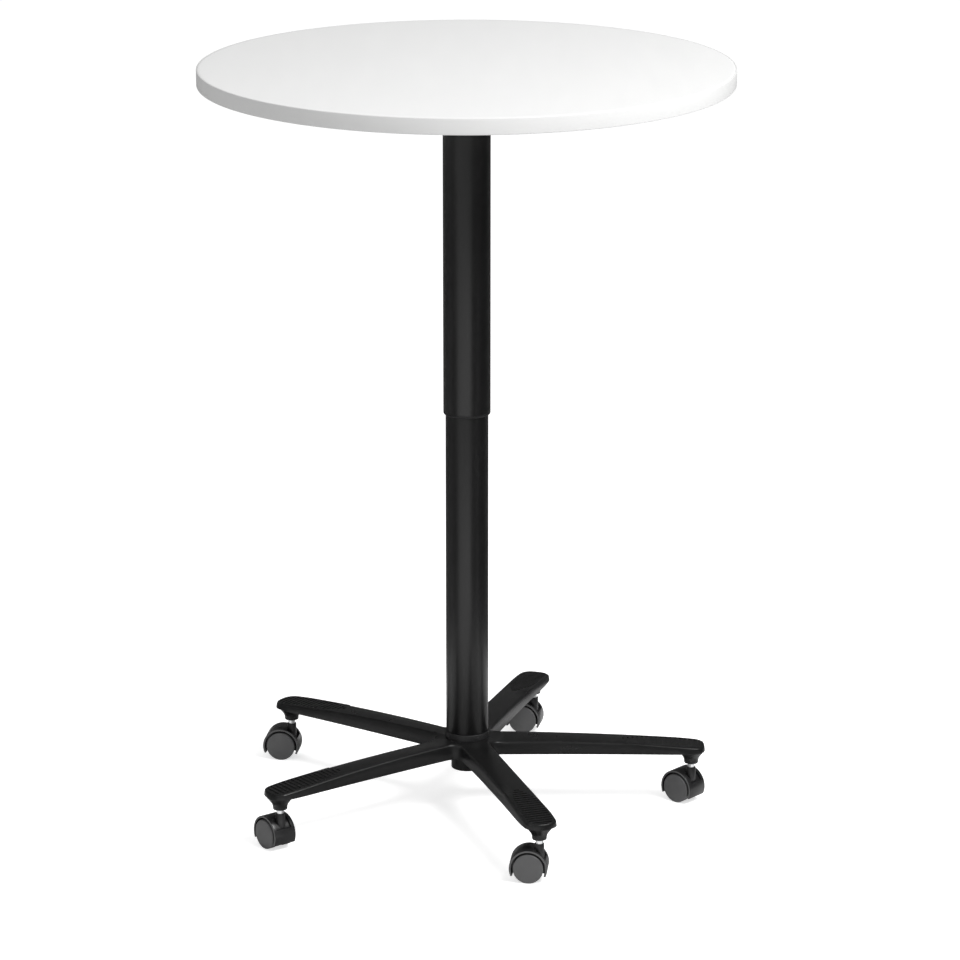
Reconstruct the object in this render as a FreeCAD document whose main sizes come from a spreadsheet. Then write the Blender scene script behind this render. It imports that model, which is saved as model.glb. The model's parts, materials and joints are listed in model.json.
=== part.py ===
"""Round height-adjustable conference table on five castors.

Millimetres, +Z up, origin on the floor under the middle of the column.  +X points along the right
arm of the base and +Y away from the person who looks at it.
"""
import FreeCAD, Part
import os
import re
from math import atan2, cos, degrees, hypot, pi, radians, sin, sqrt, tan
from FreeCAD import Placement, Rotation, Vector
from Sketcher import Constraint

# Driving dimensions: millimetres, degrees or plain counts
DIMENSIONS = {
    "top_height": 1103,
    "top_radius": 381,
    "top_thickness": 22.8,
    "band_thickness": 2,
    "band_round": 1.2,
    "plate_radius": 120,
    "plate_thickness": 6,
    "plate_edge_chamfer": 2,
    "screw_count": 8,
    "screw_circle_radius": 104,
    "screw_shank_radius": 2.2,
    "screw_head_radius": 4.6,
    "screw_head_height": 2.8,
    "screw_hole_radius": 2.7,
    "screw_grip": 16,
    "head_radius": 42,
    "head_flange_radius": 60,
    "head_flange_thickness": 6,
    "head_round": 5,
    "head_rim_round": 1.5,
    "lever_chamber_radius": 27,
    "lever_chamber_height": 15,
    "head_web_thickness": 22,
    "head_socket_depth": 18,
    "upper_tube_radius": 34.1,
    "upper_tube_wall": 2,
    "column_lip": 595.8,
    "lip_height": 4,
    "lip_round": 2.5,
    "lower_bush_length": 40,
    "running_clearance": 0.1,
    "lower_tube_radius": 30.9,
    "lower_tube_wall": 2.5,
    "lower_tube_top": 689.3,
    "key_width": 5,
    "key_clearance": 0.1,
    "key_depth": 1.1,
    "keyway_depth": 1.3,
    "keyway_run": 10,
    "column_travel": 340,
    "upper_bush_length": 30,
    "bush_cap_height": 3,
    "bush_cap_overlap": 4,
    "cylinder_radius": 14,
    "cylinder_wall": 2,
    "cylinder_bottom": 464.3,
    "cylinder_end_wall": 10,
    "cylinder_valve_wall": 26,
    "cone_end_radius": 13.3,
    "rod_radius": 5,
    "rod_spigot_radius": 4,
    "piston_length": 18,
    "piston_clearance": 0.1,
    "piston_gap": 2,
    "valve_radius": 3,
    "valve_stand": 6,
    "valve_inner_length": 22,
    "lever_width": 12,
    "lever_thickness": 4,
    "lever_side_clearance": 1,
    "lever_inner_reach": 5,
    "lever_pivot_reach": 36,
    "lever_step_start": 64,
    "lever_step_drop": 16,
    "lever_reach": 235,
    "lever_bend_radius": 5,
    "bend_share": 0.2071,
    "pivot_pin_radius": 2.5,
    "lever_boss_radius": 4.8,
    "pivot_pin_length": 34,
    "grip_start": 205,
    "grip_length": 85,
    "grip_width": 38,
    "grip_thickness": 13,
    "grip_corner_radius": 14,
    "grip_round": 5,
    "arm_count": 5,
    "hub_top": 103.5,
    "hub_flat_radius": 30,
    "arm_mid_top": 99.6,
    "arm_tip_top": 89.5,
    "arm_underside": 81.3,
    "arm_mid_radius": 200,
    "arm_reach": 351.5,
    "arm_root_width": 48,
    "arm_root_taper": 1.2,
    "arm_waist_width": 46,
    "arm_shoulder_width": 50,
    "arm_shoulder_radius": 300,
    "arm_tip_width": 47.5,
    "arm_tip_radius": 336,
    "arm_nose_width": 28,
    "arm_nose_bow": 2.8,
    "arm_tip_round_length": 22,
    "arm_wall_lean": 2.6,
    "arm_edge_round": 3.2,
    "hub_inner_round": 7,
    "facet_start": 36,
    "facet_end": 234,
    "facet_root_offset": 15,
    "facet_waist_offset": 1,
    "facet_waist_radius": 125,
    "facet_end_offset": 10.5,
    "facet_fall": 7,
    "facet_step_count": 4,
    "pad_start": 230,
    "pad_end": 343,
    "pad_groove_count": 17,
    "pad_groove_width": 3,
    "pad_groove_depth": 0.9,
    "pad_edge_margin": 6,
    "pad_nose_length": 50,
    "pad_nose_half_width": 4.5,
    "cavity_skin": 4,
    "cavity_wall": 5,
    "cavity_start": 58,
    "cavity_end": 300,
    "cavity_rib_count": 4,
    "cavity_rib_thickness": 3,
    "boss_radius": 23.5,
    "boss_bottom": 55,
    "tube_recess_floor": 89.3,
    "foot_spigot_radius": 17,
    "foot_spigot_tip_radius": 16,
    "foot_spigot_tip": 65.3,
    "foot_top": 115.3,
    "boss_bore_radius": 14,
    "collar_height": 10,
    "collar_thickness": 1.5,
    "collar_round": 1.2,
    "bumper_radius": 13,
    "bumper_height": 7,
    "washer_radius": 12,
    "washer_thickness": 2,
    "clip_radius": 8,
    "clip_thickness": 1.5,
    "clip_groove_depth": 1,
    "clip_mouth_width": 5,
    "rod_end_stub": 2,
    "castor_circle_radius": 331,
    "socket_rim_radius": 10.5,
    "socket_bottom": 61,
    "socket_flare_radius": 14,
    "socket_flare_angle": 38,
    "socket_flare_reach": 20,
    "socket_overlap": 1,
    "socket_rim_height": 2.5,
    "socket_rim_round": 1.5,
    "socket_bore_radius": 6.5,
    "socket_bore_depth": 24,
    "stem_radius": 5.2,
    "stem_collar_radius": 6.2,
    "stem_collar_height": 1.5,
    "stem_end_gap": 0.5,
    "wheel_radius": 21.5,
    "wheel_width": 11.6,
    "wheel_hub_radius": 6,
    "wheel_rim_inner": 17.5,
    "wheel_recess_depth": 8,
    "wheel_skin": 3,
    "wheel_tread_round": 1.5,
    "wheel_dome": 1,
    "wheel_dome_margin": 1,
    "hood_radius": 27.2,
    "hood_wall": 2.8,
    "hood_width": 36,
    "hood_web": 13,
    "hood_gap": 1.1,
    "hood_lobe_radius": 13,
    "hood_skirt_angle": 25,
    "hood_scoop_depth": 3.2,
    "hood_scoop_skin": 1.6,
    "hood_scoop_width": 25,
    "hood_scoop_low": 33,
    "hood_scoop_back": 4,
    "hood_backing_margin": 2,
    "castor_trail": 14.6,
    "neck_top": 54.7,
    "neck_top_radius": 6.8,
    "neck_root_radius": 7.2,
    "neck_bottom": 30,
    "stem_seat_bottom": 28,
    "axle_radius": 2.5,
    "axle_end_gap": 4,
    "swivel_clearance": 0.08,
    "wheel_clearance": 0.08,
    "swivel_right": 139.4,
    "swivel_back": 168,
    "swivel_back_left": 172.3,
    "swivel_front_left": 127.8,
    "swivel_front": 174.5,
    "overrun": 2,
    "match_tolerance": 0.01,
}

SCREW_DOME_SHARE = 0.8
WALL_RISE_SHARE = 0.6
ARC_SHARES = (0.0, 0.5, 1.0)
CASTOR_PLACES = ("right", "back", "back_left", "front_left", "front")

# Heights and radii worked out from the driving dimensions
UNDERSIDE = "(top_height - top_thickness)"
PLATE_BOTTOM = "(%s - plate_thickness)" % UNDERSIDE
WEB_TOP = "(%s - lever_chamber_height)" % PLATE_BOTTOM
WEB_BOTTOM = "(%s - head_web_thickness)" % WEB_TOP
HEAD_BOTTOM = "(%s - head_socket_depth)" % WEB_BOTTOM
FLANGE_BOTTOM = "(%s - head_flange_thickness)" % PLATE_BOTTOM
VALVE_TOP = "(%s + valve_stand)" % WEB_TOP
VALVE_FLOOR = "(%s - cylinder_valve_wall)" % WEB_TOP
LEVER_MIDDLE = "(%s + lever_thickness / 2)" % VALVE_TOP
LEVER_LOW = "(%s - lever_step_drop)" % LEVER_MIDDLE
UPPER_TUBE_INNER = "(upper_tube_radius - upper_tube_wall)"
LOWER_TUBE_INNER = "(lower_tube_radius - lower_tube_wall)"
LIP_TOP = "(column_lip + lip_height)"
CYLINDER_INNER = "(cylinder_radius - cylinder_wall)"
CYLINDER_FLOOR = "(cylinder_bottom + cylinder_end_wall)"
PISTON_BOTTOM = "(%s + piston_gap)" % CYLINDER_FLOOR
PISTON_TOP = "(%s + piston_length)" % PISTON_BOTTOM
CLIP_TOP = "(foot_spigot_tip - washer_thickness)"
CLIP_BOTTOM = "(%s - clip_thickness)" % CLIP_TOP
ROD_GROOVE = "(rod_spigot_radius - clip_groove_depth)"
WHEEL_INNER_FACE = "(hood_web / 2 + hood_gap)"

doc = FreeCAD.newDocument("conference_table")
sheet = doc.addObject("Spreadsheet::Sheet", "dimensions")
for row, (name, number) in enumerate(DIMENSIONS.items(), start=1):
    sheet.set("A%d" % row, name)
    sheet.set("B%d" % row, str(number))
    sheet.setAlias("B%d" % row, name)
doc.recompute()

PIECES = []


def size(name):
    """The number that the sheet holds under a name."""
    return float(sheet.get(name))


def bound(text):
    """An expression in which each of the sheet's names is read from the sheet."""
    def change(word):
        return "dimensions." + word.group() if word.group() in DIMENSIONS else word.group()
    return re.sub(r"[a-z_]+", change, text)


def value(text):
    """What an expression comes to now."""
    return float(sheet.evalExpression(bound(text)))


def piece(made, name):
    """Names a finished sub-part and lists it for export."""
    made.Label = name
    PIECES.append(made)
    return made


# Solids of the Part kind
def cylinder(name, radius, height, bottom):
    made = doc.addObject("Part::Cylinder", name)
    made.setExpression("Radius", bound(radius))
    made.setExpression("Height", bound(height))
    made.setExpression("Placement.Base.z", bound(bottom))
    return made


def box(name, length, width, height, corner):
    made = doc.addObject("Part::Box", name)
    for side, text in zip(("Length", "Width", "Height"), (length, width, height)):
        made.setExpression(side, bound(text))
    for axis, text in zip("xyz", corner):
        made.setExpression("Placement.Base." + axis, bound(text))
    return made


def cut(name, base, tool):
    made = doc.addObject("Part::Cut", name)
    made.Base = base
    made.Tool = tool
    return made


def ring(name, outer, inner, height, bottom):
    outside = cylinder(name + "_outside", outer, height, bottom)
    bore = cylinder(name + "_bore", inner, height, bottom)
    return cut(name, outside, bore)


# Bodies, sketches and features of the PartDesign kind
def body(name):
    return piece(doc.addObject("PartDesign::Body", name), name)


def sketch_on(owner, role, lift="0"):
    """A sketch on one of the body's own origin planes, moved along the plane's normal."""
    drawing = owner.newObject("Sketcher::SketchObject", owner.Name + "_sketch")
    for feature in owner.Origin.OriginFeatures:
        if feature.Role == role:
            drawing.AttachmentSupport = [(feature, "")]
    drawing.MapMode = "FlatFace"
    if lift != "0":
        drawing.setExpression("AttachmentOffset.Base.z", bound(lift))
    return drawing


def fix(drawing, kind, places, text):
    """A dimension of the sketch, bound to the sheet."""
    index = drawing.addConstraint(Constraint(kind, *places, value(text)))
    drawing.setExpression("Constraints[%d]" % index, bound(text))


def draw_outline(drawing, corners):
    """A closed outline.  A corner is x and y, then for an arc to the next corner its radius and
    the side that it bulges to: 1 for left of the way round, -1 for right."""
    spots = [Vector(value(corner[0]), value(corner[1]), 0) for corner in corners]
    first = drawing.GeometryCount
    ends = []
    for k, corner in enumerate(corners):
        here = spots[k]
        there = spots[(k + 1) % len(spots)]
        if len(corner) == 2:
            drawing.addGeometry(Part.LineSegment(here, there), False)
        else:
            half = (there - here) / 2
            radius = value(corner[2])
            rise = radius - sqrt(max(radius * radius - half.Length ** 2, 0))
            left = Vector(-half.y, half.x, 0).normalize()
            drawing.addGeometry(Part.Arc(here, here + half + left * rise * corner[3], there), False)
        start, stop = drawing.getPoint(first + k, 1), drawing.getPoint(first + k, 2)
        ends.append((1, 2) if (start - here).Length < (stop - here).Length else (2, 1))
    for k, corner in enumerate(corners):
        following = (k + 1) % len(corners)
        drawing.addConstraint(
            Constraint("Coincident", first + k, ends[k][1], first + following, ends[following][0]))
        fix(drawing, "DistanceX", (-1, 1, first + k, ends[k][0]), corner[0])
        fix(drawing, "DistanceY", (-1, 1, first + k, ends[k][0]), corner[1])
        if len(corner) > 2:
            fix(drawing, "Radius", (first + k,), corner[2])


def draw_box(drawing, left, right, low, high):
    draw_outline(drawing, [(left, low), (right, low), (right, high), (left, high)])


def draw_circle(drawing, x, y, radius):
    index = drawing.GeometryCount
    centre = Vector(value(x), value(y), 0)
    drawing.addGeometry(Part.Circle(centre, Vector(0, 0, 1), value(radius)), False)
    fix(drawing, "DistanceX", (-1, 1, index, 3), x)
    fix(drawing, "DistanceY", (-1, 1, index, 3), y)
    fix(drawing, "Radius", (index,), radius)


def feature(owner, kind, drawing, length, reverse=False, middle=False):
    """A pad or pocket of the given length."""
    made = owner.newObject("PartDesign::" + kind, owner.Name + "_" + kind.lower())
    made.Profile = drawing
    made.setExpression("Length", bound(length))
    made.Reversed = reverse
    made.Midplane = middle
    owner.Tip = made
    return made


def revolve(owner, corners):
    drawing = sketch_on(owner, "XZ_Plane")
    draw_outline(drawing, corners)
    made = owner.newObject("PartDesign::Revolution", owner.Name + "_turn")
    made.Profile = drawing
    made.ReferenceAxis = (drawing, ["V_Axis"])
    made.Angle = degrees(2 * pi)
    owner.Tip = made
    return made


def turned(name, corners):
    """A body of revolution about the upright axis, from its half section."""
    owner = body(name)
    revolve(owner, corners)
    return owner


def repeat_round(owner, original, drawing, count):
    made = owner.newObject("PartDesign::PolarPattern", owner.Name + "_pattern")
    made.Originals = [original]
    made.Axis = (drawing, ["N_Axis"])
    made.Angle = degrees(2 * pi)
    made.setExpression("Occurrences", bound(count))
    owner.Tip = made
    return made


def dress(owner, kind, prop, amount, choose):
    """A fillet or chamfer on the edges of the body so far that choose picks."""
    doc.recompute()
    base = owner.Tip
    names = ["Edge%d" % k for k, edge in enumerate(base.Shape.Edges, 1) if choose(edge)]
    if not names:
        raise ValueError("no edge to dress on " + owner.Name)
    made = owner.newObject("PartDesign::" + kind, owner.Name + "_" + kind.lower())
    made.Base = (base, names)
    made.setExpression(prop, bound(amount))
    owner.Tip = made
    return made


def near(a, b):
    return abs(a - b) < size("match_tolerance")


def circle_at(radius, height):
    """Picks round edges about the upright axis by radius and height."""
    def choose(edge):
        curve = edge.Curve
        return (isinstance(curve, Part.Circle) and near(curve.Radius, value(radius))
                and near(curve.Center.z, value(height)) and near(curve.Center.x, 0)
                and near(curve.Center.y, 0))
    return choose


def upright(edge):
    """Picks straight upright edges."""
    box_of = edge.BoundBox
    return near(box_of.XLength, 0) and near(box_of.YLength, 0)


# Table top: a round board with a moulded edge band
def table_top():
    board = body("table_top_panel")
    drawing = sketch_on(board, "XY_Plane", UNDERSIDE)
    draw_circle(drawing, "0", "0", "top_radius - band_thickness")
    feature(board, "Pad", drawing, "top_thickness")
    holes = sketch_on(board, "XY_Plane", UNDERSIDE)
    draw_circle(holes, "screw_circle_radius", "0", "screw_shank_radius")
    pilot = feature(board, "Pocket", holes, "screw_grip", reverse=True)
    repeat_round(board, pilot, holes, "screw_count")

    band = body("table_edge_band")
    drawing = sketch_on(band, "XY_Plane", UNDERSIDE)
    draw_circle(drawing, "0", "0", "top_radius")
    draw_circle(drawing, "0", "0", "top_radius - band_thickness")
    feature(band, "Pad", drawing, "top_thickness")
    low = circle_at("top_radius", UNDERSIDE)
    high = circle_at("top_radius", "top_height")
    dress(band, "Fillet", "Radius", "band_round", lambda edge: low(edge) or high(edge))


# Mounting plate under the top, and its screws
def mounting_plate():
    plate = body("mounting_plate")
    drawing = sketch_on(plate, "XY_Plane", PLATE_BOTTOM)
    draw_circle(drawing, "0", "0", "plate_radius")
    feature(plate, "Pad", drawing, "plate_thickness")
    holes = sketch_on(plate, "XY_Plane", PLATE_BOTTOM)
    draw_circle(holes, "screw_circle_radius", "0", "screw_hole_radius")
    hole = feature(plate, "Pocket", holes, "plate_thickness", reverse=True)
    repeat_round(plate, hole, holes, "screw_count")
    dress(plate, "Chamfer", "Size", "plate_edge_chamfer", circle_at("plate_radius", PLATE_BOTTOM))

    under = value(PLATE_BOTTOM)
    spot = Vector(size("screw_circle_radius"), 0, under)
    down = Vector(0, 0, -size("screw_head_height"))
    head = Part.makeCylinder(size("screw_head_radius"), size("screw_head_height"), spot + down)
    rim = [edge for edge in head.Edges if near(edge.BoundBox.ZMax, (spot + down).z)]
    head = head.makeFillet(size("screw_head_height") * SCREW_DOME_SHARE, rim)
    shank = Part.makeCylinder(
        size("screw_shank_radius"), size("plate_thickness") + size("screw_grip"), spot)
    one = head.fuse(shank)
    screws = []
    count = int(size("screw_count"))
    for k in range(count):
        copy = one.copy()
        copy.rotate(Vector(0, 0, 0), Vector(0, 0, 1), k * degrees(2 * pi) / count)
        screws.append(copy)
    group = doc.addObject("Part::Feature", "plate_screws")
    group.Shape = Part.makeCompound(screws)
    piece(group, "plate_screws")


# Column head: a casting with a socket for the tube, a taper for the gas spring and a lever slot
def column_head():
    head = turned("column_head", [
        ("cylinder_radius", WEB_BOTTOM), ("upper_tube_radius", WEB_BOTTOM),
        ("upper_tube_radius", HEAD_BOTTOM), ("head_radius", HEAD_BOTTOM),
        ("head_radius", FLANGE_BOTTOM), ("head_flange_radius", FLANGE_BOTTOM),
        ("head_flange_radius", PLATE_BOTTOM), ("lever_chamber_radius", PLATE_BOTTOM),
        ("lever_chamber_radius", WEB_TOP), ("cone_end_radius", WEB_TOP)])
    corner = circle_at("head_radius", FLANGE_BOTTOM)
    dress(head, "Fillet", "Radius", "head_round", corner)
    rim = circle_at("head_radius", HEAD_BOTTOM)
    dress(head, "Fillet", "Radius", "head_rim_round", rim)
    slot = sketch_on(head, "XY_Plane", WEB_TOP)
    side = "(lever_width / 2 + lever_side_clearance)"
    draw_box(slot, "0", "head_flange_radius + overrun", "-" + side, side)
    feature(head, "Pocket", slot, "lever_chamber_height + overrun", reverse=True)
    hole = sketch_on(head, "XZ_Plane")
    draw_circle(hole, "lever_pivot_reach", LEVER_MIDDLE, "pivot_pin_radius")
    feature(head, "Pocket", hole, "pivot_pin_length", middle=True)


# Upper tube with the plastic bush in its mouth, keyed to the groove of the lower tube
def upper_column():
    length = "%s - %s" % (WEB_BOTTOM, LIP_TOP)
    piece(ring("upper_tube", "upper_tube_radius", UPPER_TUBE_INNER, length, LIP_TOP), "upper_tube")
    bore = "(lower_tube_radius + running_clearance)"
    bush_top = "%s + lower_bush_length" % LIP_TOP
    bush = turned("column_mouth_bush", [
        (bore, "column_lip"), ("upper_tube_radius", "column_lip"), ("upper_tube_radius", LIP_TOP),
        (UPPER_TUBE_INNER, LIP_TOP), (UPPER_TUBE_INNER, bush_top), (bore, bush_top)])
    lip = circle_at("upper_tube_radius", "column_lip")
    dress(bush, "Fillet", "Radius", "lip_round", lip)
    key = sketch_on(bush, "XY_Plane", LIP_TOP)
    draw_box(key, "-key_width / 2", "key_width / 2", "lower_tube_radius - key_depth",
             "(%s + %s) / 2" % (bore, UPPER_TUBE_INNER))
    feature(bush, "Pad", key, "lower_bush_length")


# Lower tube with its key groove and the guide bush on its end
def lower_column():
    length = "lower_tube_top - tube_recess_floor"
    tube = ring("lower_tube_round", "lower_tube_radius", LOWER_TUBE_INNER, length,
                "tube_recess_floor")
    width = "(key_width + 2 * key_clearance)"
    bottom = "(%s - column_travel - keyway_run)" % LIP_TOP
    groove = box("lower_tube_keyway", width, "keyway_depth + overrun",
                 "lower_tube_top - %s + overrun" % bottom,
                 ("-%s / 2" % width, "lower_tube_radius - keyway_depth", bottom))
    piece(cut("lower_tube", tube, groove), "lower_tube")
    outer = "(%s - running_clearance)" % UPPER_TUBE_INNER
    lip = "(%s - bush_cap_overlap)" % LOWER_TUBE_INNER
    turned("tube_end_bush", [
        ("lower_tube_radius", "lower_tube_top - upper_bush_length"),
        (outer, "lower_tube_top - upper_bush_length"),
        (outer, "lower_tube_top + bush_cap_height"), (lip, "lower_tube_top + bush_cap_height"),
        (lip, "lower_tube_top"), ("lower_tube_radius", "lower_tube_top")])
    turned("column_foot", [
        ("rod_spigot_radius", "foot_spigot_tip"), ("foot_spigot_tip_radius", "foot_spigot_tip"),
        ("foot_spigot_radius", "tube_recess_floor"), (LOWER_TUBE_INNER, "tube_recess_floor"),
        (LOWER_TUBE_INNER, "foot_top"), ("rod_spigot_radius", "foot_top")])
    collar = turned("column_collar", [
        ("lower_tube_radius", "hub_top"), ("lower_tube_radius + collar_thickness", "hub_top"),
        ("lower_tube_radius + collar_thickness", "hub_top + collar_height"),
        ("lower_tube_radius", "hub_top + collar_height")])
    rim = circle_at("lower_tube_radius + collar_thickness", "hub_top + collar_height")
    dress(collar, "Fillet", "Radius", "collar_round", rim)


# Gas spring: its cylinder hangs in the head, and its rod stands in the foot of the column
def gas_spring():
    bore = "(rod_radius + running_clearance)"
    valve_bore = "(valve_radius + running_clearance / 2)"
    turned("gas_cylinder", [
        (bore, "cylinder_bottom"), ("cylinder_radius", "cylinder_bottom"),
        ("cylinder_radius", WEB_BOTTOM), ("cone_end_radius", WEB_TOP), (valve_bore, WEB_TOP),
        (valve_bore, VALVE_FLOOR), (CYLINDER_INNER, VALVE_FLOOR),
        (CYLINDER_INNER, CYLINDER_FLOOR), (bore, CYLINDER_FLOOR)])
    turned("piston_rod", [
        ("0", CLIP_BOTTOM + " - rod_end_stub"),
        ("rod_spigot_radius", CLIP_BOTTOM + " - rod_end_stub"),
        ("rod_spigot_radius", CLIP_BOTTOM), (ROD_GROOVE, CLIP_BOTTOM), (ROD_GROOVE, CLIP_TOP),
        ("rod_spigot_radius", CLIP_TOP), ("rod_spigot_radius", "foot_top"),
        ("rod_radius", "foot_top"), ("rod_radius", PISTON_TOP), ("0", PISTON_TOP)])
    piece(ring("gas_piston", CYLINDER_INNER + " - piston_clearance", "rod_radius", "piston_length",
               PISTON_BOTTOM), "gas_piston")
    button = cylinder("valve_button", "valve_radius", "valve_inner_length + valve_stand",
                      WEB_TOP + " - valve_inner_length")
    piece(button, "valve_button")
    piece(ring("end_stop_bumper", "bumper_radius", "rod_radius", "bumper_height", "foot_top"),
          "end_stop_bumper")
    piece(ring("rod_washer", "washer_radius", "rod_spigot_radius", "washer_thickness", CLIP_TOP),
          "rod_washer")
    clip = ring("rod_clip_ring", "clip_radius", ROD_GROOVE, "clip_thickness", CLIP_BOTTOM)
    mouth = box("rod_clip_mouth", "clip_radius + overrun", "clip_mouth_width",
                "clip_thickness", ("0", "-clip_mouth_width / 2", CLIP_BOTTOM))
    piece(cut("rod_clip", clip, mouth), "rod_clip")


# Release lever under the top: it tilts on a pin and presses the valve of the gas spring
def release_lever():
    lever = body("release_lever")
    half = "lever_thickness / 2"
    turn = "lever_thickness * bend_share"
    step_end = "(lever_step_start + lever_step_drop)"
    drawing = sketch_on(lever, "XZ_Plane")
    draw_outline(drawing, [
        ("-lever_inner_reach", LEVER_MIDDLE + " - " + half),
        ("lever_step_start - " + turn, LEVER_MIDDLE + " - " + half),
        (step_end + " - " + turn, LEVER_LOW + " - " + half),
        ("lever_reach", LEVER_LOW + " - " + half), ("lever_reach", LEVER_LOW + " + " + half),
        (step_end + " + " + turn, LEVER_LOW + " + " + half),
        ("lever_step_start + " + turn, LEVER_MIDDLE + " + " + half),
        ("-lever_inner_reach", LEVER_MIDDLE + " + " + half)])
    feature(lever, "Pad", drawing, "lever_width", middle=True)
    start = value("lever_step_start") - size("lever_thickness")
    stop = value(step_end) + size("lever_thickness")
    dress(lever, "Fillet", "Radius", "lever_bend_radius",
          lambda edge: near(edge.BoundBox.XLength, 0) and near(edge.BoundBox.ZLength, 0)
          and start < edge.BoundBox.Center.x < stop)
    boss = sketch_on(lever, "XZ_Plane")
    draw_circle(boss, "lever_pivot_reach", LEVER_MIDDLE, "lever_boss_radius")
    feature(lever, "Pad", boss, "lever_width", middle=True)
    hole = sketch_on(lever, "XZ_Plane")
    draw_circle(hole, "lever_pivot_reach", LEVER_MIDDLE, "pivot_pin_radius + running_clearance / 2")
    feature(lever, "Pocket", hole, "lever_width", middle=True)

    grip = body("lever_grip")
    drawing = sketch_on(grip, "XY_Plane", LEVER_LOW + " - grip_thickness / 2")
    draw_box(drawing, "grip_start", "grip_start + grip_length", "-grip_width / 2", "grip_width / 2")
    feature(grip, "Pad", drawing, "grip_thickness")
    dress(grip, "Fillet", "Radius", "grip_corner_radius", upright)
    levels = (value(LEVER_LOW + " - grip_thickness / 2"), value(LEVER_LOW + " + grip_thickness / 2"))
    dress(grip, "Fillet", "Radius", "grip_round",
          lambda edge: near(edge.BoundBox.ZLength, 0)
          and (near(edge.BoundBox.ZMin, levels[0]) or near(edge.BoundBox.ZMin, levels[1])))
    slot = sketch_on(grip, "XZ_Plane")
    draw_box(slot, "grip_start - overrun", "lever_reach", LEVER_LOW + " - " + half,
             LEVER_LOW + " + " + half)
    feature(grip, "Pocket", slot, "lever_width", middle=True)

    pin = doc.addObject("Part::Cylinder", "lever_pivot_pin")
    pin.setExpression("Radius", bound("pivot_pin_radius"))
    pin.setExpression("Height", bound("pivot_pin_length"))
    pin.Placement = Placement(Vector(0, 0, 0), Rotation(Vector(1, 0, 0), -degrees(pi / 2)))
    pin.setExpression("Placement.Base.x", bound("lever_pivot_reach"))
    pin.setExpression("Placement.Base.y", bound("-pivot_pin_length / 2"))
    pin.setExpression("Placement.Base.z", bound(LEVER_MIDDLE))
    piece(pin, "lever_pivot_pin")


# Star base: one casting with five arms, tilted facets, ribbed pads, a hub and castor bosses
def polar(radius, angle, height=0):
    return Vector(radius * cos(angle), radius * sin(angle), height)


def arc_onward(start, heading, end):
    """An arc from start that sets out along a heading and ends at end, and its heading there."""
    chord = end - start
    lean = atan2(chord.y, chord.x) - heading
    left = Vector(-chord.y, chord.x, 0)
    middle = start + chord / 2 - left * tan(lean / 2) / 2
    return Part.Arc(start, middle, end).toShape(), heading + 2 * lean


def arm_half(inset):
    """One side of an arm's outline as arcs, from the hub fillet to the tip, moved in by inset."""
    sector = pi / size("arm_count")
    taper = radians(size("arm_root_taper"))
    half = size("arm_root_width") / 2 - inset
    fillet = size("hub_inner_round") - size("arm_wall_lean") + inset
    out = (fillet + half * cos(taper)) / sin(sector + taper)
    centre = polar(out, sector)
    start = centre - Vector(sin(taper), cos(taper), 0) * fillet
    shoulder = Vector(size("arm_shoulder_radius"), size("arm_shoulder_width") / 2 - inset, 0)
    cheek = Vector(size("arm_tip_radius"), size("arm_tip_width") / 2 - inset, 0)
    nose = Vector(size("arm_reach") - size("arm_nose_bow") - inset, size("arm_nose_width") / 2, 0)
    edges = []
    heading = -taper
    for here, there in ((start, shoulder), (shoulder, cheek), (cheek, nose)):
        edge, heading = arc_onward(here, heading, there)
        edges.append(edge)
    return edges, start, nose, polar(out - fillet, sector)


def turned_edge(edge, angle):
    copy = edge.copy()
    copy.rotate(Vector(0, 0, 0), Vector(0, 0, 1), degrees(angle))
    return copy


def star_outline(inset, height):
    """The closed outline of all the arms, moved in by inset, at a height."""
    count = int(size("arm_count"))
    edges, root, nose, inner = arm_half(inset)
    mirror = [edge.mirror(Vector(0, 0, 0), Vector(0, 1, 0)) for edge in edges]
    tip = Vector(size("arm_reach") - inset, 0, 0)
    crown = Part.Arc(Vector(nose.x, -nose.y, 0), tip, nose).toShape()
    sector = 2 * pi / count
    far_root = polar(hypot(root.x, root.y), sector - atan2(root.y, root.x))
    corner = Part.Arc(root, inner, far_root).toShape()
    parts = mirror + [crown] + edges[::-1] + [corner]
    chain = [turned_edge(edge, k * sector) for k in range(count) for edge in parts]
    wire = Part.Wire(Part.sortEdges(chain)[0])
    wire.translate(Vector(0, 0, height))
    return wire


def crown_arc():
    """The long arc that the tops of the arms follow, from the hub flat to past the tip."""
    start = Vector(size("hub_flat_radius"), 0, size("hub_top"))
    middle = Vector(size("arm_mid_radius"), 0, size("arm_mid_top"))
    end = Vector(size("arm_reach"), 0, size("arm_tip_top"))
    return Part.Arc(start, middle, end)


def crown_height(radius):
    """How high the arms' tops are at a radius."""
    if radius < size("hub_flat_radius"):
        return size("hub_top")
    circle = Part.Circle(*[crown_arc().value(share) for share in ARC_SHARES])
    across = radius - circle.Center.x
    return circle.Center.z + sqrt(circle.Radius ** 2 - across ** 2)


def under_crown(drop, bottom):
    """Everything between a level and the arms' tops, less drop, as a solid of revolution."""
    inner = size("hub_flat_radius")
    outer = size("arm_reach") + size("overrun")
    ends = [Vector(radius, 0, crown_height(radius) - drop)
            for radius in (inner, (inner + outer) / 2, outer)]
    hub = Vector(0, 0, size("hub_top") - drop)
    foot = Vector(0, 0, bottom)
    far = Vector(ends[-1].x, 0, bottom)
    edges = [Part.LineSegment(hub, ends[0]).toShape(), Part.Arc(*ends).toShape(),
             Part.LineSegment(ends[-1], far).toShape(), Part.LineSegment(far, foot).toShape(),
             Part.LineSegment(foot, hub).toShape()]
    face = Part.Face(Part.Wire(edges))
    return face.revolve(Vector(0, 0, 0), Vector(0, 0, 1), degrees(2 * pi))


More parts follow.
